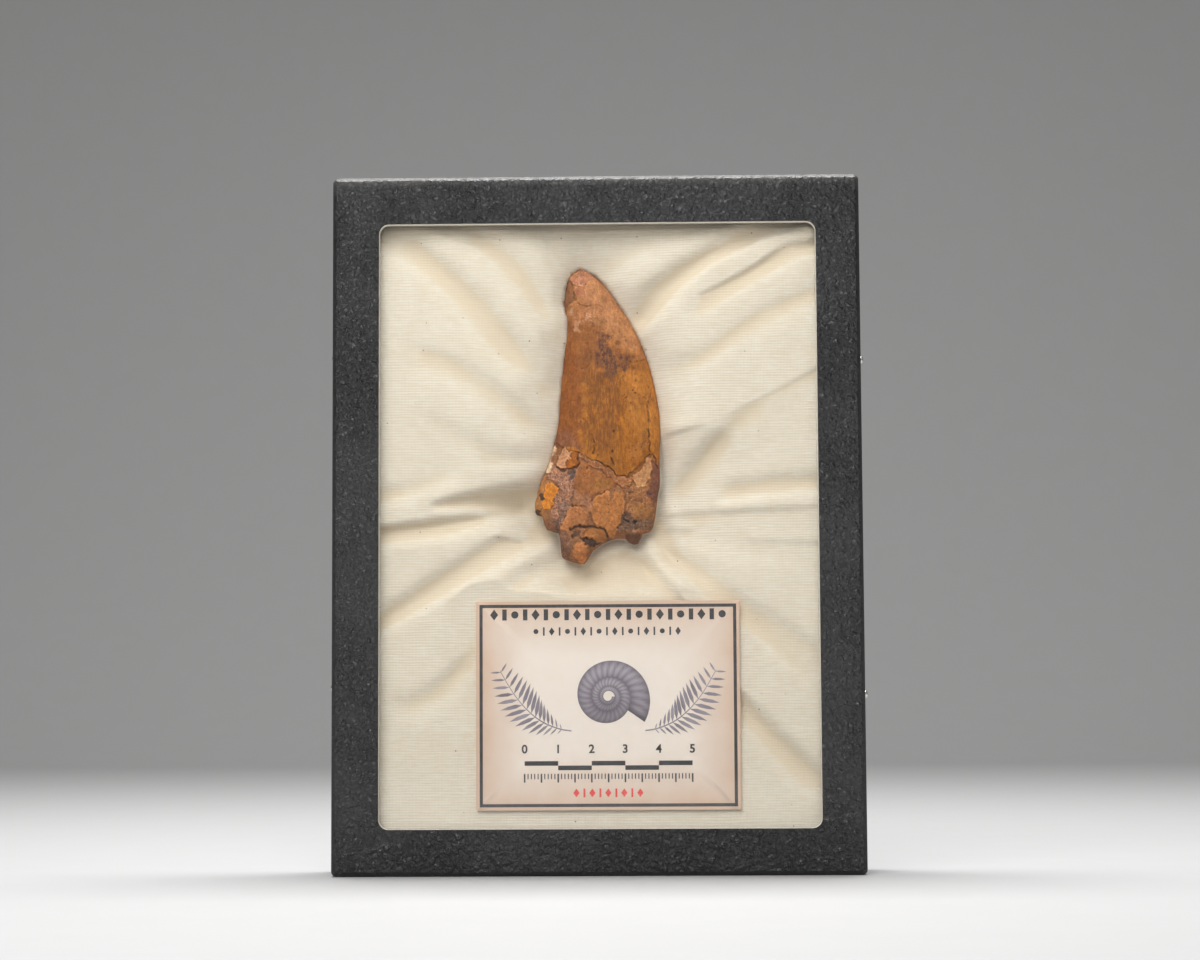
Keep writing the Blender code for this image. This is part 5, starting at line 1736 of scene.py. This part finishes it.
SLOPES = (
    Slope("below the upper left valley", ((-68, 187.5), (-55, 182.5), (-49, 177.5), (-42, 169), (-38, 161),
          (-31, 155.5), (-25, 151)), (4, 4), 0.32),
    Slope("upper left valley", ((-55, 193), (-45, 184), (-38, 178), (-32, 172), (-26, 164), (-20, 156),
          (-16, 148)), (3, 3.4), -0.42),
    Slope("upper left ridge", ((-48, 193), (-38, 188), (-31, 184), (-26, 178), (-21, 171), (-18, 166)),
          (3.8, 3.4), 0.32),
    Slope("valley left of the tip", ((-35, 194), (-25, 186), (-19, 180), (-14, 172), (-12, 164)), (2.8, 3),
          -0.26),
    Slope("ridge left of the tip", ((-20, 192), (-15, 187), (-12, 182)), (2.6, 2.4), 0.3),
    Slope("second left valley", ((-52, 159), (-42, 155.5), (-36, 152), (-30, 147.5), (-24, 142),
          (-18, 137)), (2.2, 2.8), -0.34),
    Slope("below the second left valley", ((-52, 150), (-42, 146.5), (-36, 142), (-28, 136.5),
          (-22, 132.5)), (3.2, 3), 0.2),
    Slope("third left valley", ((-52, 139), (-43, 135.5), (-38, 132), (-32, 128), (-24, 126.5), (-17, 126)),
          (2.2, 2.4), -0.27),
    Slope("below the third left valley", ((-36, 121.5), (-26, 122.5), (-18, 123)), (1.4, 1.4), 0.24),
    Slope("dip at the left edge", ((-70, 116), (-60, 116.5)), (2.2, 1.6), -0.3),
    Slope("ridge over the left creases", ((-70, 109.5), (-58, 111.5), (-50, 114.5), (-44, 117)), (2.6, 2.4),
          0.36),
    Slope("wedge beside the root", ((-48.5, 111.5), (-40, 113.2), (-32, 114.2), (-24, 115), (-17, 116)),
          (0.9, 3), -0.9, -1.3),
    Slope("bright lip under the wedge", ((-49, 109), (-40, 109.8), (-30, 109.8), (-22, 109)), (0.9, 1),
          0.6),
    Slope("left crease", ((-70, 103), (-58, 104.6), (-50, 105.6), (-42, 106.6), (-35, 107.2)), (1.9, 0.5),
          -1.3, -1),
    Slope("below the left crease", ((-68, 99.3), (-55, 100), (-46, 101.2), (-38, 103.2), (-30, 105.8),
          (-23, 107.5)), (2, 2.2), 0.65),
    Slope("lower left valley", ((-70, 75.5), (-60, 81.5), (-54, 85.5), (-47, 90), (-40, 94.5), (-34, 98.5),
          (-29, 100.6)), (3.2, 1.4), -0.48),
    Slope("thin crease by the root", ((-31, 100.9), (-27, 100.4), (-23.5, 99.6)), (0.45, 0.45), -1.1),
    Slope("lower left ridge", ((-68, 71.5), (-56, 77.5), (-48, 82), (-40, 86.5), (-32, 91), (-26, 94.5),
          (-20, 97.5), (-16, 98.5)), (2.6, 2.6), 0.66),
    Slope("lip by the root", ((-27, 103), (-18, 101.5)), (1.2, 1.2), 0.25),
    Slope("valley above the card", ((-33, 84), (-26, 87.5), (-20, 91.5)), (1.6, 1.6), -0.28),
    Slope("rise above the card", ((-24, 84), (-16, 87), (-8, 88)), (2.6, 2.6), 0.28),
    Slope("valley left of the card", ((-58, 52.5), (-48, 57.5), (-42, 63.5), (-38.5, 70), (-37, 77)),
          (2.2, 2.6), -0.34),
    Slope("rise left of the card", ((-54, 47), (-45, 52.5), (-39, 60)), (3, 3), 0.18),
    Slope("first ridge right of the tip", ((3, 179), (12, 184.5), (20, 188), (30, 191), (40, 194)),
          (3.2, 3.6), 0.26),
    Slope("first valley right of the tip", ((11, 169), (15, 176), (22, 180.5), (30, 185.5), (38, 190),
          (46, 194)), (3.2, 2), -0.55),
    Slope("bright ridge at the upper right", ((12, 163), (18, 167), (22, 172), (27, 177.5), (34, 182.5),
          (43, 187), (52, 190.5), (63, 194)), (2, 2.4), 0.8),
    Slope("upper right crease", ((31.5, 174.2), (37, 176.6), (43, 179.8), (49, 183.4), (54, 187.2),
          (58, 189.6), (68, 190.7)), (0.5, 1.4), -1.2),
    Slope("below the upper right crease", ((32, 167), (38, 170.5), (45, 175.5), (52, 179.5), (60, 184),
          (68, 186.5)), (2.6, 2.6), 0.5),
    Slope("second right valley", ((23, 154), (30, 156), (36, 161), (44, 167), (52, 171.5), (60, 174.5),
          (70, 177.5)), (3, 2.2), -0.3),
    Slope("second right ridge", ((33, 152.5), (40, 156.5), (47, 160.5), (55, 165), (66, 170)), (3.4, 3.4),
          0.25),
    Slope("over the right crease", ((22, 134), (30, 136.5), (38, 139.5)), (1.6, 1.6), 0.14),
    Slope("right crease", ((19.5, 131.3), (26, 132.5), (32, 134.1), (37, 136), (43, 139.2), (50, 142.6),
          (57, 146.1), (62, 148.9), (69, 152.3)), (0.45, 0.5), -1),
    Slope("under the right crease", ((34, 133), (40, 136.5), (48, 140)), (2.6, 2.2), -0.26),
    Slope("pool beside the root", ((20, 116), (26, 120.5), (32, 127), (37, 132)), (3.8, 2.6), -0.6),
    Slope("dip at the right edge", ((40, 116.5), (50, 118.3), (58, 119), (70, 118.8)), (1.8, 2.2), -0.36),
    Slope("ridge at the right edge", ((38, 111), (48, 112.5), (58, 113.2), (70, 114.2)), (1.8, 2.2), 0.46),
    Slope("long right groove", ((21, 107.2), (32, 107.8), (44, 108.3), (55, 108.8), (70, 109.8)), (1, 1),
          -0.55),
    Slope("groove by the root", ((21, 103), (28, 102.6)), (1, 0.8), -0.45),
    Slope("lower right groove", ((46, 99.2), (56, 98.9), (70, 98.3)), (0.8, 0.8), -0.34),
    Slope("rise at the right", ((22, 98.6), (32, 97.2), (44, 94), (58, 91.5)), (2.2, 2.6), 0.16),
    Slope("lower right valley", ((20, 97.5), (27, 94.5), (34, 90), (41, 85), (47, 80), (53, 76.5), (60, 72),
          (70, 64.5)), (2.2, 2.6), -0.34),
    Slope("lower right ridge", ((18, 97), (22.5, 92), (27, 87.3), (31.5, 82.7), (36.5, 78), (43, 73),
          (48, 69), (54, 63.5), (61, 56)), (2.2, 2.8), 0.8, 0.3),
    Slope("valley right of the nub", ((13, 94), (18, 89.8), (24, 84.5), (28, 80)), (1.8, 1.9), -0.75),
    Slope("valley right of the card", ((36, 65), (43, 55), (47, 49), (53, 43), (60, 36.5), (70, 28)),
          (3.6, 3), -0.5),
    Slope("ridge right of the card", ((42, 47), (49, 38), (55, 31), (62, 24)), (3, 3), 0.3),
    Slope("shade under the root", ((-8, 90), (-2, 93), (3, 96.2), (8, 97.2), (14.5, 95.5)), (3.4, 3), -1),
    Slope("shade right of the root's foot", ((19.5, 108), (21.5, 102), (22, 96)), (2.4, 2.2), -0.9),
    Slope("rise under the root", ((-2, 86), (8, 87), (14, 85)), (3, 3), 0.06),
)


@dataclass
class Muslinwork:
    """The muslin over the batting: its folds, its pocket for the tooth, and its bed for the card."""

    form: ToothForm = field(default_factory=ToothForm)
    columns: int = 268
    rows: int = 358
    lattice: float = 0.5
    lattice_margin: float = 24.0
    sideways: float = 0.22
    steepness: float = 1.2
    longest_wave: float = 150.0
    valley_reach: float = 3.5
    slack: float = 0.5
    sink_at_tooth: float = 7.0
    sink_spread: float = 9.0
    root_sink: float = 5.0
    # Patches of painted shade as (x, height, width, height reach): one under the tooth's root, one along the
    # window's top edge under the lid.
    tanned: tuple[tuple[float, ...], ...] = ((3.0, 89.0, 17.0, 6.5), (0.0, 197.0, 300.0, 5.0))
    pocket_margin: float = 0.05
    pocket_room: float = 2.0
    roll_radius: float = 1.3
    tuck: float = 7.0
    card_middle: Point = (3.0, 50.25)
    card_half: Point = (39.4, 31.1)
    card_bed: float = 1.0
    card_margin: float = 10.0
    box: Box = field(default_factory=lambda: Box.of("lining_cloth"))

    def __post_init__(self) -> None:
        """Works out the folds once."""
        self.half = np.array((self.box.half_width, self.box.half_height))
        self.fold_x, self.fold_z, self.folds, self.valleys = self.fold_heights()

    def fold_heights(self) -> tuple[Array, ...]:
        """Heights whose slopes are as near as can be to the wanted ones, by least squares.

        Returns:
            The lattice's places across, its heights, and the folds' rise and hollow at each crossing.
        """
        x, z = (np.arange(-reach, reach, self.lattice) for reach in self.half + self.lattice_margin)
        z = z + self.box.middle[1]
        grid_x, grid_z = np.meshgrid(x, z, indexing="ij")
        tilt = 0.045 * rough_noise(grid_x, grid_z, 6.0, 61) + 0.025 * rough_noise(grid_x, grid_z, 2.6, 71, 2)
        for slope in SLOPES:
            tilt = tilt + self.steepness * slope.at(grid_x, grid_z)
        past = -np.minimum(*self.box.inward(grid_x, grid_z))
        tilt = tilt * smooth_step(1 - past / (self.lattice_margin * 0.6))
        wave_x, wave_z = (2 * math.pi * np.fft.fftfreq(len(places), self.lattice) for places in (x, z))
        wave_x, wave_z = wave_x[:, None], wave_z[None, :]
        weight = wave_z**2 + self.sideways * wave_x**2 + (2 * math.pi / self.longest_wave) ** 2
        rise = 1j * wave_z * np.fft.fft2(tilt) / weight
        rise[0, 0] = 0
        blurred = rise * (np.exp(-((wave_x**2 + wave_z**2) * self.valley_reach**2) / 2) - 1)
        return x, z, np.real(np.fft.ifft2(rise)), np.real(np.fft.ifft2(blurred))

    def on_lattice(self, values: Array, x: Array, z: Array) -> Array:
        """A lattice's values at any place.

        Args:
            values: one value for each crossing.
            x: places across.
            z: heights.

        Returns:
            One value for each place.
        """
        column = np.clip((x - self.fold_x[0]) / self.lattice, 0, len(self.fold_x) - 1.001)
        row = np.clip((z - self.fold_z[0]) / self.lattice, 0, len(self.fold_z) - 1.001)
        i, j = column.astype(int), row.astype(int)
        low, high = (blend(values[i, k], values[i + 1, k], column - i) for k in (j, j + 1))
        return blend(low, high, row - j)

    def depth(self, x: Array, z: Array) -> Array:
        """Depth of the cloth's face behind every place.

        Args:
            x: places across.
            z: heights.

        Returns:
            Its place along Y at each place.
        """
        form, margin = self.form, self.pocket_margin
        away = form.outside(x, z)
        height = np.clip(z, form.bottom, form.tip)
        beside, above = (
            np.maximum(np.abs(places - middle) - half, 0)
            for places, middle, half in zip((x, z), self.card_middle, self.card_half)
        )
        off_card = np.hypot(beside, above)
        right_of_root = smooth_step((136 - z) / 14) * smooth_step((x - 5) / 10)
        by_root = np.maximum(smooth_step((118 - z) / 14), right_of_root)
        sink = self.sink_at_tooth + self.root_sink * by_root
        sink = sink * np.exp(-np.maximum(away - margin, 0) / (self.sink_spread + 2 * by_root))
        sink = sink * smooth_step(off_card / self.card_margin)
        behind = self.slack + sink - self.on_lattice(self.folds, x, z) * smooth_step((away + 3) / 8)
        behind = 0.1 + np.log1p(np.exp(behind * 2.2)) / 2.2
        reach = (form.right_edge(height) - form.left_edge(height)) / 2 + margin
        inward = np.clip((margin - away) / reach, 0, 1)
        pocket = (form.thickness(height) + self.pocket_room) * (1 - (1 - inward) ** 2) ** 0.6
        under = form.depth(height) + pocket - self.box.low.y
        deepest = np.maximum(blend(behind, under, smooth_step((margin - away) / 0.8)), under)
        behind = np.where(away < margin, deepest, behind)
        bed = self.card_bed * smooth_step(1.15 - off_card / self.card_margin)
        return self.box.low.y + np.maximum(behind, bed)

    def build(self) -> Object:
        """Makes the cloth."""
        bm = bmesh.new()
        bmesh.ops.create_grid(bm, x_segments=self.columns, y_segments=self.rows, size=1)
        mesh = mesh_from(bm, "muslin_lining")
        cut = self.half + self.tuck + self.roll_radius * (math.pi / 2 - 1)
        spread = points_of(mesh)[:, :2] * cut
        straight = self.half - self.roll_radius
        past = np.maximum(np.abs(spread) - straight, 0)
        over = np.hypot(*past.T)
        turn = np.minimum(over / self.roll_radius, math.pi / 2)
        out = self.roll_radius * np.sin(turn) / np.maximum(over, 1e-6)
        x, z = (np.sign(spread) * (np.minimum(np.abs(spread), straight) + past * out[:, None])).T
        z = z + self.box.middle[1]
        fall = self.roll_radius * (1 - np.cos(turn)) + np.maximum(over - self.roll_radius * math.pi / 2, 0)
        move_points(mesh, np.column_stack([x, self.depth(x, z) + fall, z]))
        # Painted shade: the valley value darkens the cloth where the folds are hollow, and the patches darken
        # it where the root and the lid cast shade.
        valley = smooth_step((self.on_lattice(self.valleys, x, z) - 0.1) / 0.5)
        for middle_x, middle_z, wide, tall in self.tanned:
            shade_patch = 0.9 * np.exp(-(((x - middle_x) / wide) ** 2) - ((z - middle_z) / tall) ** 2)
            valley = np.maximum(valley, shade_patch)
        keep_values(mesh, flat_place=np.column_stack([spread, np.zeros(len(x))]), valley=valley)
        face_glass(mesh)
        mesh.shade_smooth()
        cloth = make_piece(mesh, "muslin_lining", [Muslin().material()], ["lining_cloth"], None)
        return cloth


@dataclass
class BattingPad:
    """The batting that fills the tray behind the muslin."""

    cloth: Muslinwork
    columns: int = 90
    rows: int = 120
    clearance: float = 1.5
    bulge: float = 0.5
    levels: tuple[float, ...] = (0.12, 0.35, 0.65, 0.9, 1.0)
    box: Box = field(default_factory=lambda: Box.of("batting_pad"))

    def build(self) -> Object:
        """Makes the pad: its face follows the cloth, and its sides round over to a flat back."""
        bm = bmesh.new()
        bmesh.ops.create_grid(bm, x_segments=self.columns, y_segments=self.rows, size=1)
        rim = [edge for edge in bm.edges if edge.is_boundary]
        level = bm.verts.layers.float.new("level")
        for share in self.levels:
            verts, rim = extrude(bm, rim)
            for vert in verts:
                vert[level] = share
        bmesh.ops.holes_fill(bm, edges=rim)
        x, z, down = np.array([(vert.co.x, vert.co.y, vert[level]) for vert in bm.verts]).T
        squeeze = 1 - (self.bulge + 1.2 * np.abs(2 * down - 0.9) ** 3) / self.box.half_width
        x = self.box.middle[0] + x * self.box.half_width * squeeze
        z = self.box.middle[1] + z * self.box.half_height * squeeze
        lumps = np.abs(0.35 * rough_noise(x, z, 7.0, 91))
        top = np.minimum(self.cloth.depth(x, z) + self.clearance + lumps, self.box.high.y - 1.0)
        for vert, place in zip(bm.verts, np.column_stack([x, blend(top, self.box.high.y, down), z])):
            vert.co = place
        bmesh.ops.recalc_face_normals(bm, faces=bm.faces)
        pad = make_piece(bm, "batting_fill", [Batting().material()], ["batting_pad"], 60)
        return pad


# The card


class Mark(Enum):
    """The card's printed ornaments, as outlines in shares of their width and height."""

    LOZENGE = (
        (-0.55, 0), (-0.26, 0.26), (0, 0.5), (0.26, 0.26), (0.55, 0), (0.26, -0.26), (0, -0.5), (-0.26, -0.26)
    )
    BAR = ((-0.3, -0.5), (0.3, -0.5), (0.3, 0.5), (-0.3, 0.5))
    TICK = ((-0.17, -0.5), (0.17, -0.5), (0.17, 0.5), (-0.17, 0.5))
    BEAD = tuple((math.cos(step * math.pi / 7) / 2, math.sin(step * math.pi / 7) / 2) for step in range(14))


@dataclass(frozen=True)
class MarkRow:
    """One printed row of ornaments.

    Attributes:
        height: its middle's height.
        start: x of its first mark.
        end: x of its last mark.
        pitch: distance between marks.
        size: width and height of each mark.
        marks: the shapes, repeated in turn.
    """

    height: float
    start: float
    end: float
    pitch: float
    size: Point
    marks: tuple[Mark, ...]

    def places(self) -> list[tuple[float, Mark]]:
        """Each mark's x and shape."""
        count = round((self.end - self.start) / self.pitch)
        step = (self.end - self.start) / count
        kinds = len(self.marks)
        return [(self.start + step * mark, self.marks[mark % kinds]) for mark in range(count + 1)]


@dataclass
class Card:
    """The paper card with a plain specimen print: a border, ornaments, a scale, a shell and ferns."""

    corner_radius: float = 0.35
    border_inset: float = 1.0
    border_width: float = 0.95
    print_height: float = 0.02
    print_sink: float = 0.02
    black_rows: tuple[MarkRow, ...] = (
        MarkRow(77.3, -31.0, 37.2, 3.1, (2.2, 3.3), (Mark.LOZENGE, Mark.BAR, Mark.BEAD, Mark.BAR)),
        MarkRow(72.3, -18.5, 24.0, 2.35, (1.5, 2.5), (Mark.BEAD, Mark.TICK, Mark.LOZENGE, Mark.TICK)),
    )
    red_row: MarkRow = MarkRow(24.3, -6.6, 12.4, 2.375, (1.7, 2.6), (Mark.LOZENGE, Mark.TICK))
    scale_start: float = -22.0
    scale_length: int = 50
    scale_height: float = 32.4
    block_height: float = 1.35
    tick_drop: float = 2.4
    number_height: float = 37.2
    number_size: float = 3.5
    number_boldness: float = 0.09
    shell_middle: Point = (3.0, 52.8)
    shell_radius: float = 13.2
    whorl_ratio: float = 1.85
    shell_turns: float = 3.1
    shell_start: float = -35.0
    ribs: int = 27
    fern_stem: tuple[Point, ...] = ((8.0, 42.4), (15.0, 43.4), (22.0, 47.0), (28.0, 53.5), (32.5, 61.0))
    fern_leaves: int = 15
    leaf_turn: float = 62.0
    leaf: tuple[Point, ...] = ((0, 0), (0.3, 0.09), (0.65, 0.08), (1.0, 0.0), (0.65, -0.07), (0.3, -0.08))
    box: Box = field(default_factory=lambda: Box.of("label_card"))

    def build(self) -> list[Object]:
        """Makes the card and everything printed on it."""
        black = Ink().material()
        red = Ink("Red ink", (0.80, 0.055, 0.05), (0.86, 0.14, 0.12)).material()
        lilac = Ink("Lilac grey ink", (0.075, 0.062, 0.078), (0.43, 0.375, 0.425), toned=True).material()
        pieces = [self.paper(), self.border(black), self.ornaments(black), self.numbers(black)]
        marks = bmesh.new()
        self.add_row(marks, self.red_row)
        pieces.append(self.printed(marks, "card_red_ornaments", red))
        return [*pieces, self.shell(lilac), self.ferns(lilac)]

    def printed(self, shape: BMesh | Mesh, name: str, ink: Material) -> Object:
        """Makes one printed piece."""
        return make_piece(shape, name, [ink], (), None)

    def paper(self) -> Object:
        """The card itself, with cut edges."""
        front, back, radius = self.box.low.y, self.box.high.y, self.corner_radius
        steps = ((12.0, front, 0.1), (0.08, front, radius), (0.0, front + 0.06, radius))
        steps += ((0.0, back - 0.06, radius), (0.08, back, radius), (12.0, back, 0.1))
        bm = close_ends(shell_of([self.box.rim(*step) for step in steps], 4, 24, 18))
        return make_piece(bm, "paper_card", [CardPaper().material()], ["label_card"], 35)

    def border(self, ink: Material) -> Object:
        """The printed line round the card."""
        top, foot = self.box.low.y - self.print_height, self.box.low.y + self.print_sink
        outer, inner = self.border_inset, self.border_inset + self.border_width
        steps = ((outer, foot), (outer, top), (inner, top), (inner, foot), (outer, foot))
        bm = shell_of([self.box.rim(inset, depth, 0.12) for inset, depth in steps], 2, 8, 6)
        return self.printed(bm, "card_border", ink)

    def add_plate(self, bm: BMesh, outline: Iterable[Point]) -> None:
        """Adds a printed shape.

        Args:
            bm: the drawing.
            outline: the shape's corners as (x, height).
        """
        top = self.box.low.y - self.print_height
        face = bm.faces.new([bm.verts.new((x, top, z)) for x, z in outline])
        face.normal_update()
        if face.normal.y > 0:
            face.normal_flip()
        made = bmesh.ops.extrude_face_region(bm, geom=[face], use_keep_orig=True)["geom"]
        bmesh.ops.translate(bm, vec=(0, self.print_height + self.print_sink, 0), verts=verts_in(made))
        for part in made:
            if isinstance(part, BMFace):
                part.normal_flip()

    def add_block(self, bm: BMesh, left: float, low: float, right: float, high: float) -> None:
        """Adds an upright printed block, given by its sides."""
        self.add_plate(bm, [(left, low), (right, low), (right, high), (left, high)])

    def add_row(self, bm: BMesh, row: MarkRow) -> None:
        """Adds a row of ornaments, whose beads stay round."""
        for x, mark in row.places():
            width, height = row.size[0], row.size[0 if mark is Mark.BEAD else 1]
            self.add_plate(bm, [(x + width * right, row.height + height * up) for right, up in mark.value])

    def ornaments(self, ink: Material) -> Object:
        """The black rows, and a scale in centimetres with blocks above and millimetre ticks below."""
        bm = bmesh.new()
        for row in self.black_rows:
            self.add_row(bm, row)
        for block in range(self.scale_length // 10):
            left = self.scale_start + 10 * block
            top = self.scale_height + (0.0 if block % 2 else self.block_height)
            self.add_block(bm, left, top - self.block_height, left + 10, top)
        top = self.scale_height - self.tick_drop
        for tick in range(self.scale_length + 1):
            half_width, length = (0.16, 1.6) if tick % 5 else (0.24, 2.6)
            x = self.scale_start + tick
            self.add_block(bm, x - half_width, top - length, x + half_width, top)
        return self.printed(bm, "card_ornaments", ink)

    def numbers(self, ink: Material) -> Object:
        """The scale's plain numbers."""
        thickness = self.print_height + self.print_sink
        letters = bpy.data.curves.new("scale_numbers", "FONT")
        letters.align_x = "CENTER"
        letters.align_y = "CENTER"
        letters.size, letters.offset, letters.extrude = self.number_size, self.number_boldness, thickness / 2
        joined = bmesh.new()
        for number in range(self.scale_length // 10 + 1):
            letters.body = str(number)
            holder = bpy.data.objects.new("number", letters)
            bpy.context.scene.collection.objects.link(holder)
            bpy.context.view_layer.update()
            laid_out = holder.evaluated_get(bpy.context.evaluated_depsgraph_get())
            made = bpy.data.meshes.new_from_object(laid_out)
            y = self.box.low.y + self.print_sink - thickness / 2
            place = (self.scale_start + 10 * number, y, self.number_height)
            made.transform(Matrix.Translation(place) @ Matrix.Rotation(math.pi / 2, 4, "X"))
            joined.from_mesh(made)
            bpy.data.objects.remove(holder)
            bpy.data.meshes.remove(made)
        bmesh.ops.remove_doubles(joined, verts=joined.verts, dist=0.001)
        return self.printed(joined, "card_numbers", ink)

    def shell(self, ink: Material) -> Object:
        """A drawn spiral shell: a strip wound into whorls, toned by its ribs."""
        bm = bmesh.new()
        bmesh.ops.create_grid(bm, x_segments=300, y_segments=9, size=1)
        mesh = mesh_from(bm, "card_shell_drawing")
        turn, across, _ = ((points_of(mesh) + 1) / 2).T
        turn = turn * self.shell_turns
        outer = self.shell_radius * self.whorl_ratio ** (-turn)
        radius = blend(outer / self.whorl_ratio, outer, across)
        angle = 2 * math.pi * turn + math.radians(self.shell_start)
        x = self.shell_middle[0] + radius * np.cos(angle)
        z = self.shell_middle[1] + radius * np.sin(angle)
        move_points(mesh, np.column_stack([x, np.full(len(x), self.box.low.y - self.print_height), z]))
        ribs = 0.5 + 0.5 * np.cos(2 * math.pi * (turn * self.ribs + 0.55 * across**2))
        tone = np.sin(math.pi * (0.08 + 0.84 * across)) ** 0.8 * (0.42 + 0.58 * ribs**0.7)
        tone = tone * (0.75 + 0.25 * np.sin(angle)) * smooth_step(turn / 0.03)
        keep_values(mesh, tone=np.clip(tone, 0, 1))
        face_glass(mesh)
        return self.printed(mesh, "card_shell_drawing", ink)

    def ferns(self, ink: Material) -> Object:
        """Two drawn fern fronds that curve away from the shell."""
        bm = bmesh.new()
        stem = curve_through(self.fern_stem)
        for side in (-1, 1):
            for share in np.linspace(0, 1, self.fern_leaves):
                reach = 14.0 + 18.0 * share
                length = 6.4 * math.sin(math.pi * (0.14 + 0.8 * (1 - share))) + 0.6
                slope = math.atan2(float(stem(reach + 0.4) - stem(reach - 0.4)), 0.8)
                for lift in (-1, 1):
                    turn = slope + lift * math.radians(self.leaf_turn)
                    self.add_leaf(bm, side, (reach, float(stem(reach))), turn, length)
            places = np.linspace(11.0, 32.3, 22)
            middle = [(self.shell_middle[0] + side * place, float(stem(place))) for place in places]
            upper, lower = ([(x, z + half) for x, z in middle] for half in (0.2, -0.2))
            self.add_plate(bm, [*upper, *lower[::-1]])
        mesh = mesh_from(bm, "card_fern_drawing")
        x, _, z = points_of(mesh).T
        keep_values(mesh, tone=0.5 + 0.3 * lattice_noise(x, z, 1.3, 55))
        return self.printed(mesh, "card_fern_drawing", ink)

    def add_leaf(self, bm: BMesh, side: int, foot: Point, turn: float, length: float) -> None:
        """Adds one leaflet.

        Args:
            bm: the drawing.
            side: -1 on the left frond and 1 on the right.
            foot: its foot's distance from the shell's middle, and its height.
            turn: its direction on the right frond.
            length: its length.
        """
        along_x, along_z = length * math.cos(turn), length * math.sin(turn)
        outline = [
            (foot[0] + along * along_x - across * along_z, foot[1] + along * along_z + across * along_x)
            for along, across in self.leaf
        ]
        self.add_plate(bm, [(self.shell_middle[0] + side * x, z) for x, z in outline])


# Putting it together


def dress_glass() -> None:
    """Gives the CAD's own pane its finish, because its shape is already right."""
    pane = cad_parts["glass_pane"]
    pane.data.materials.clear()
    pane.data.materials.append(ClearGlass().material())


def main() -> None:
    """Builds every piece in order."""
    logging.basicConfig(level=logging.INFO, format="%(name)s %(message)s")
    Studio().build()
    Lid().build()
    dress_glass()
    Tray().build()
    cloth = Muslinwork()
    BattingPad(cloth).build()
    cloth.build()
    Tooth().build()
    Card().build()
    nickel = Nickel().material()
    for node, side, height in (
        ("pin_left_upper", PinSide.LEFT, 156.3),
        ("pin_left_lower", PinSide.LEFT, 55.8),
        ("pin_right_upper", PinSide.RIGHT, 154.8),
        ("pin_right_lower", PinSide.RIGHT, 53.1),
    ):
        Pin(node, side, height).build(nickel)


if __name__ == "__main__":
    main()
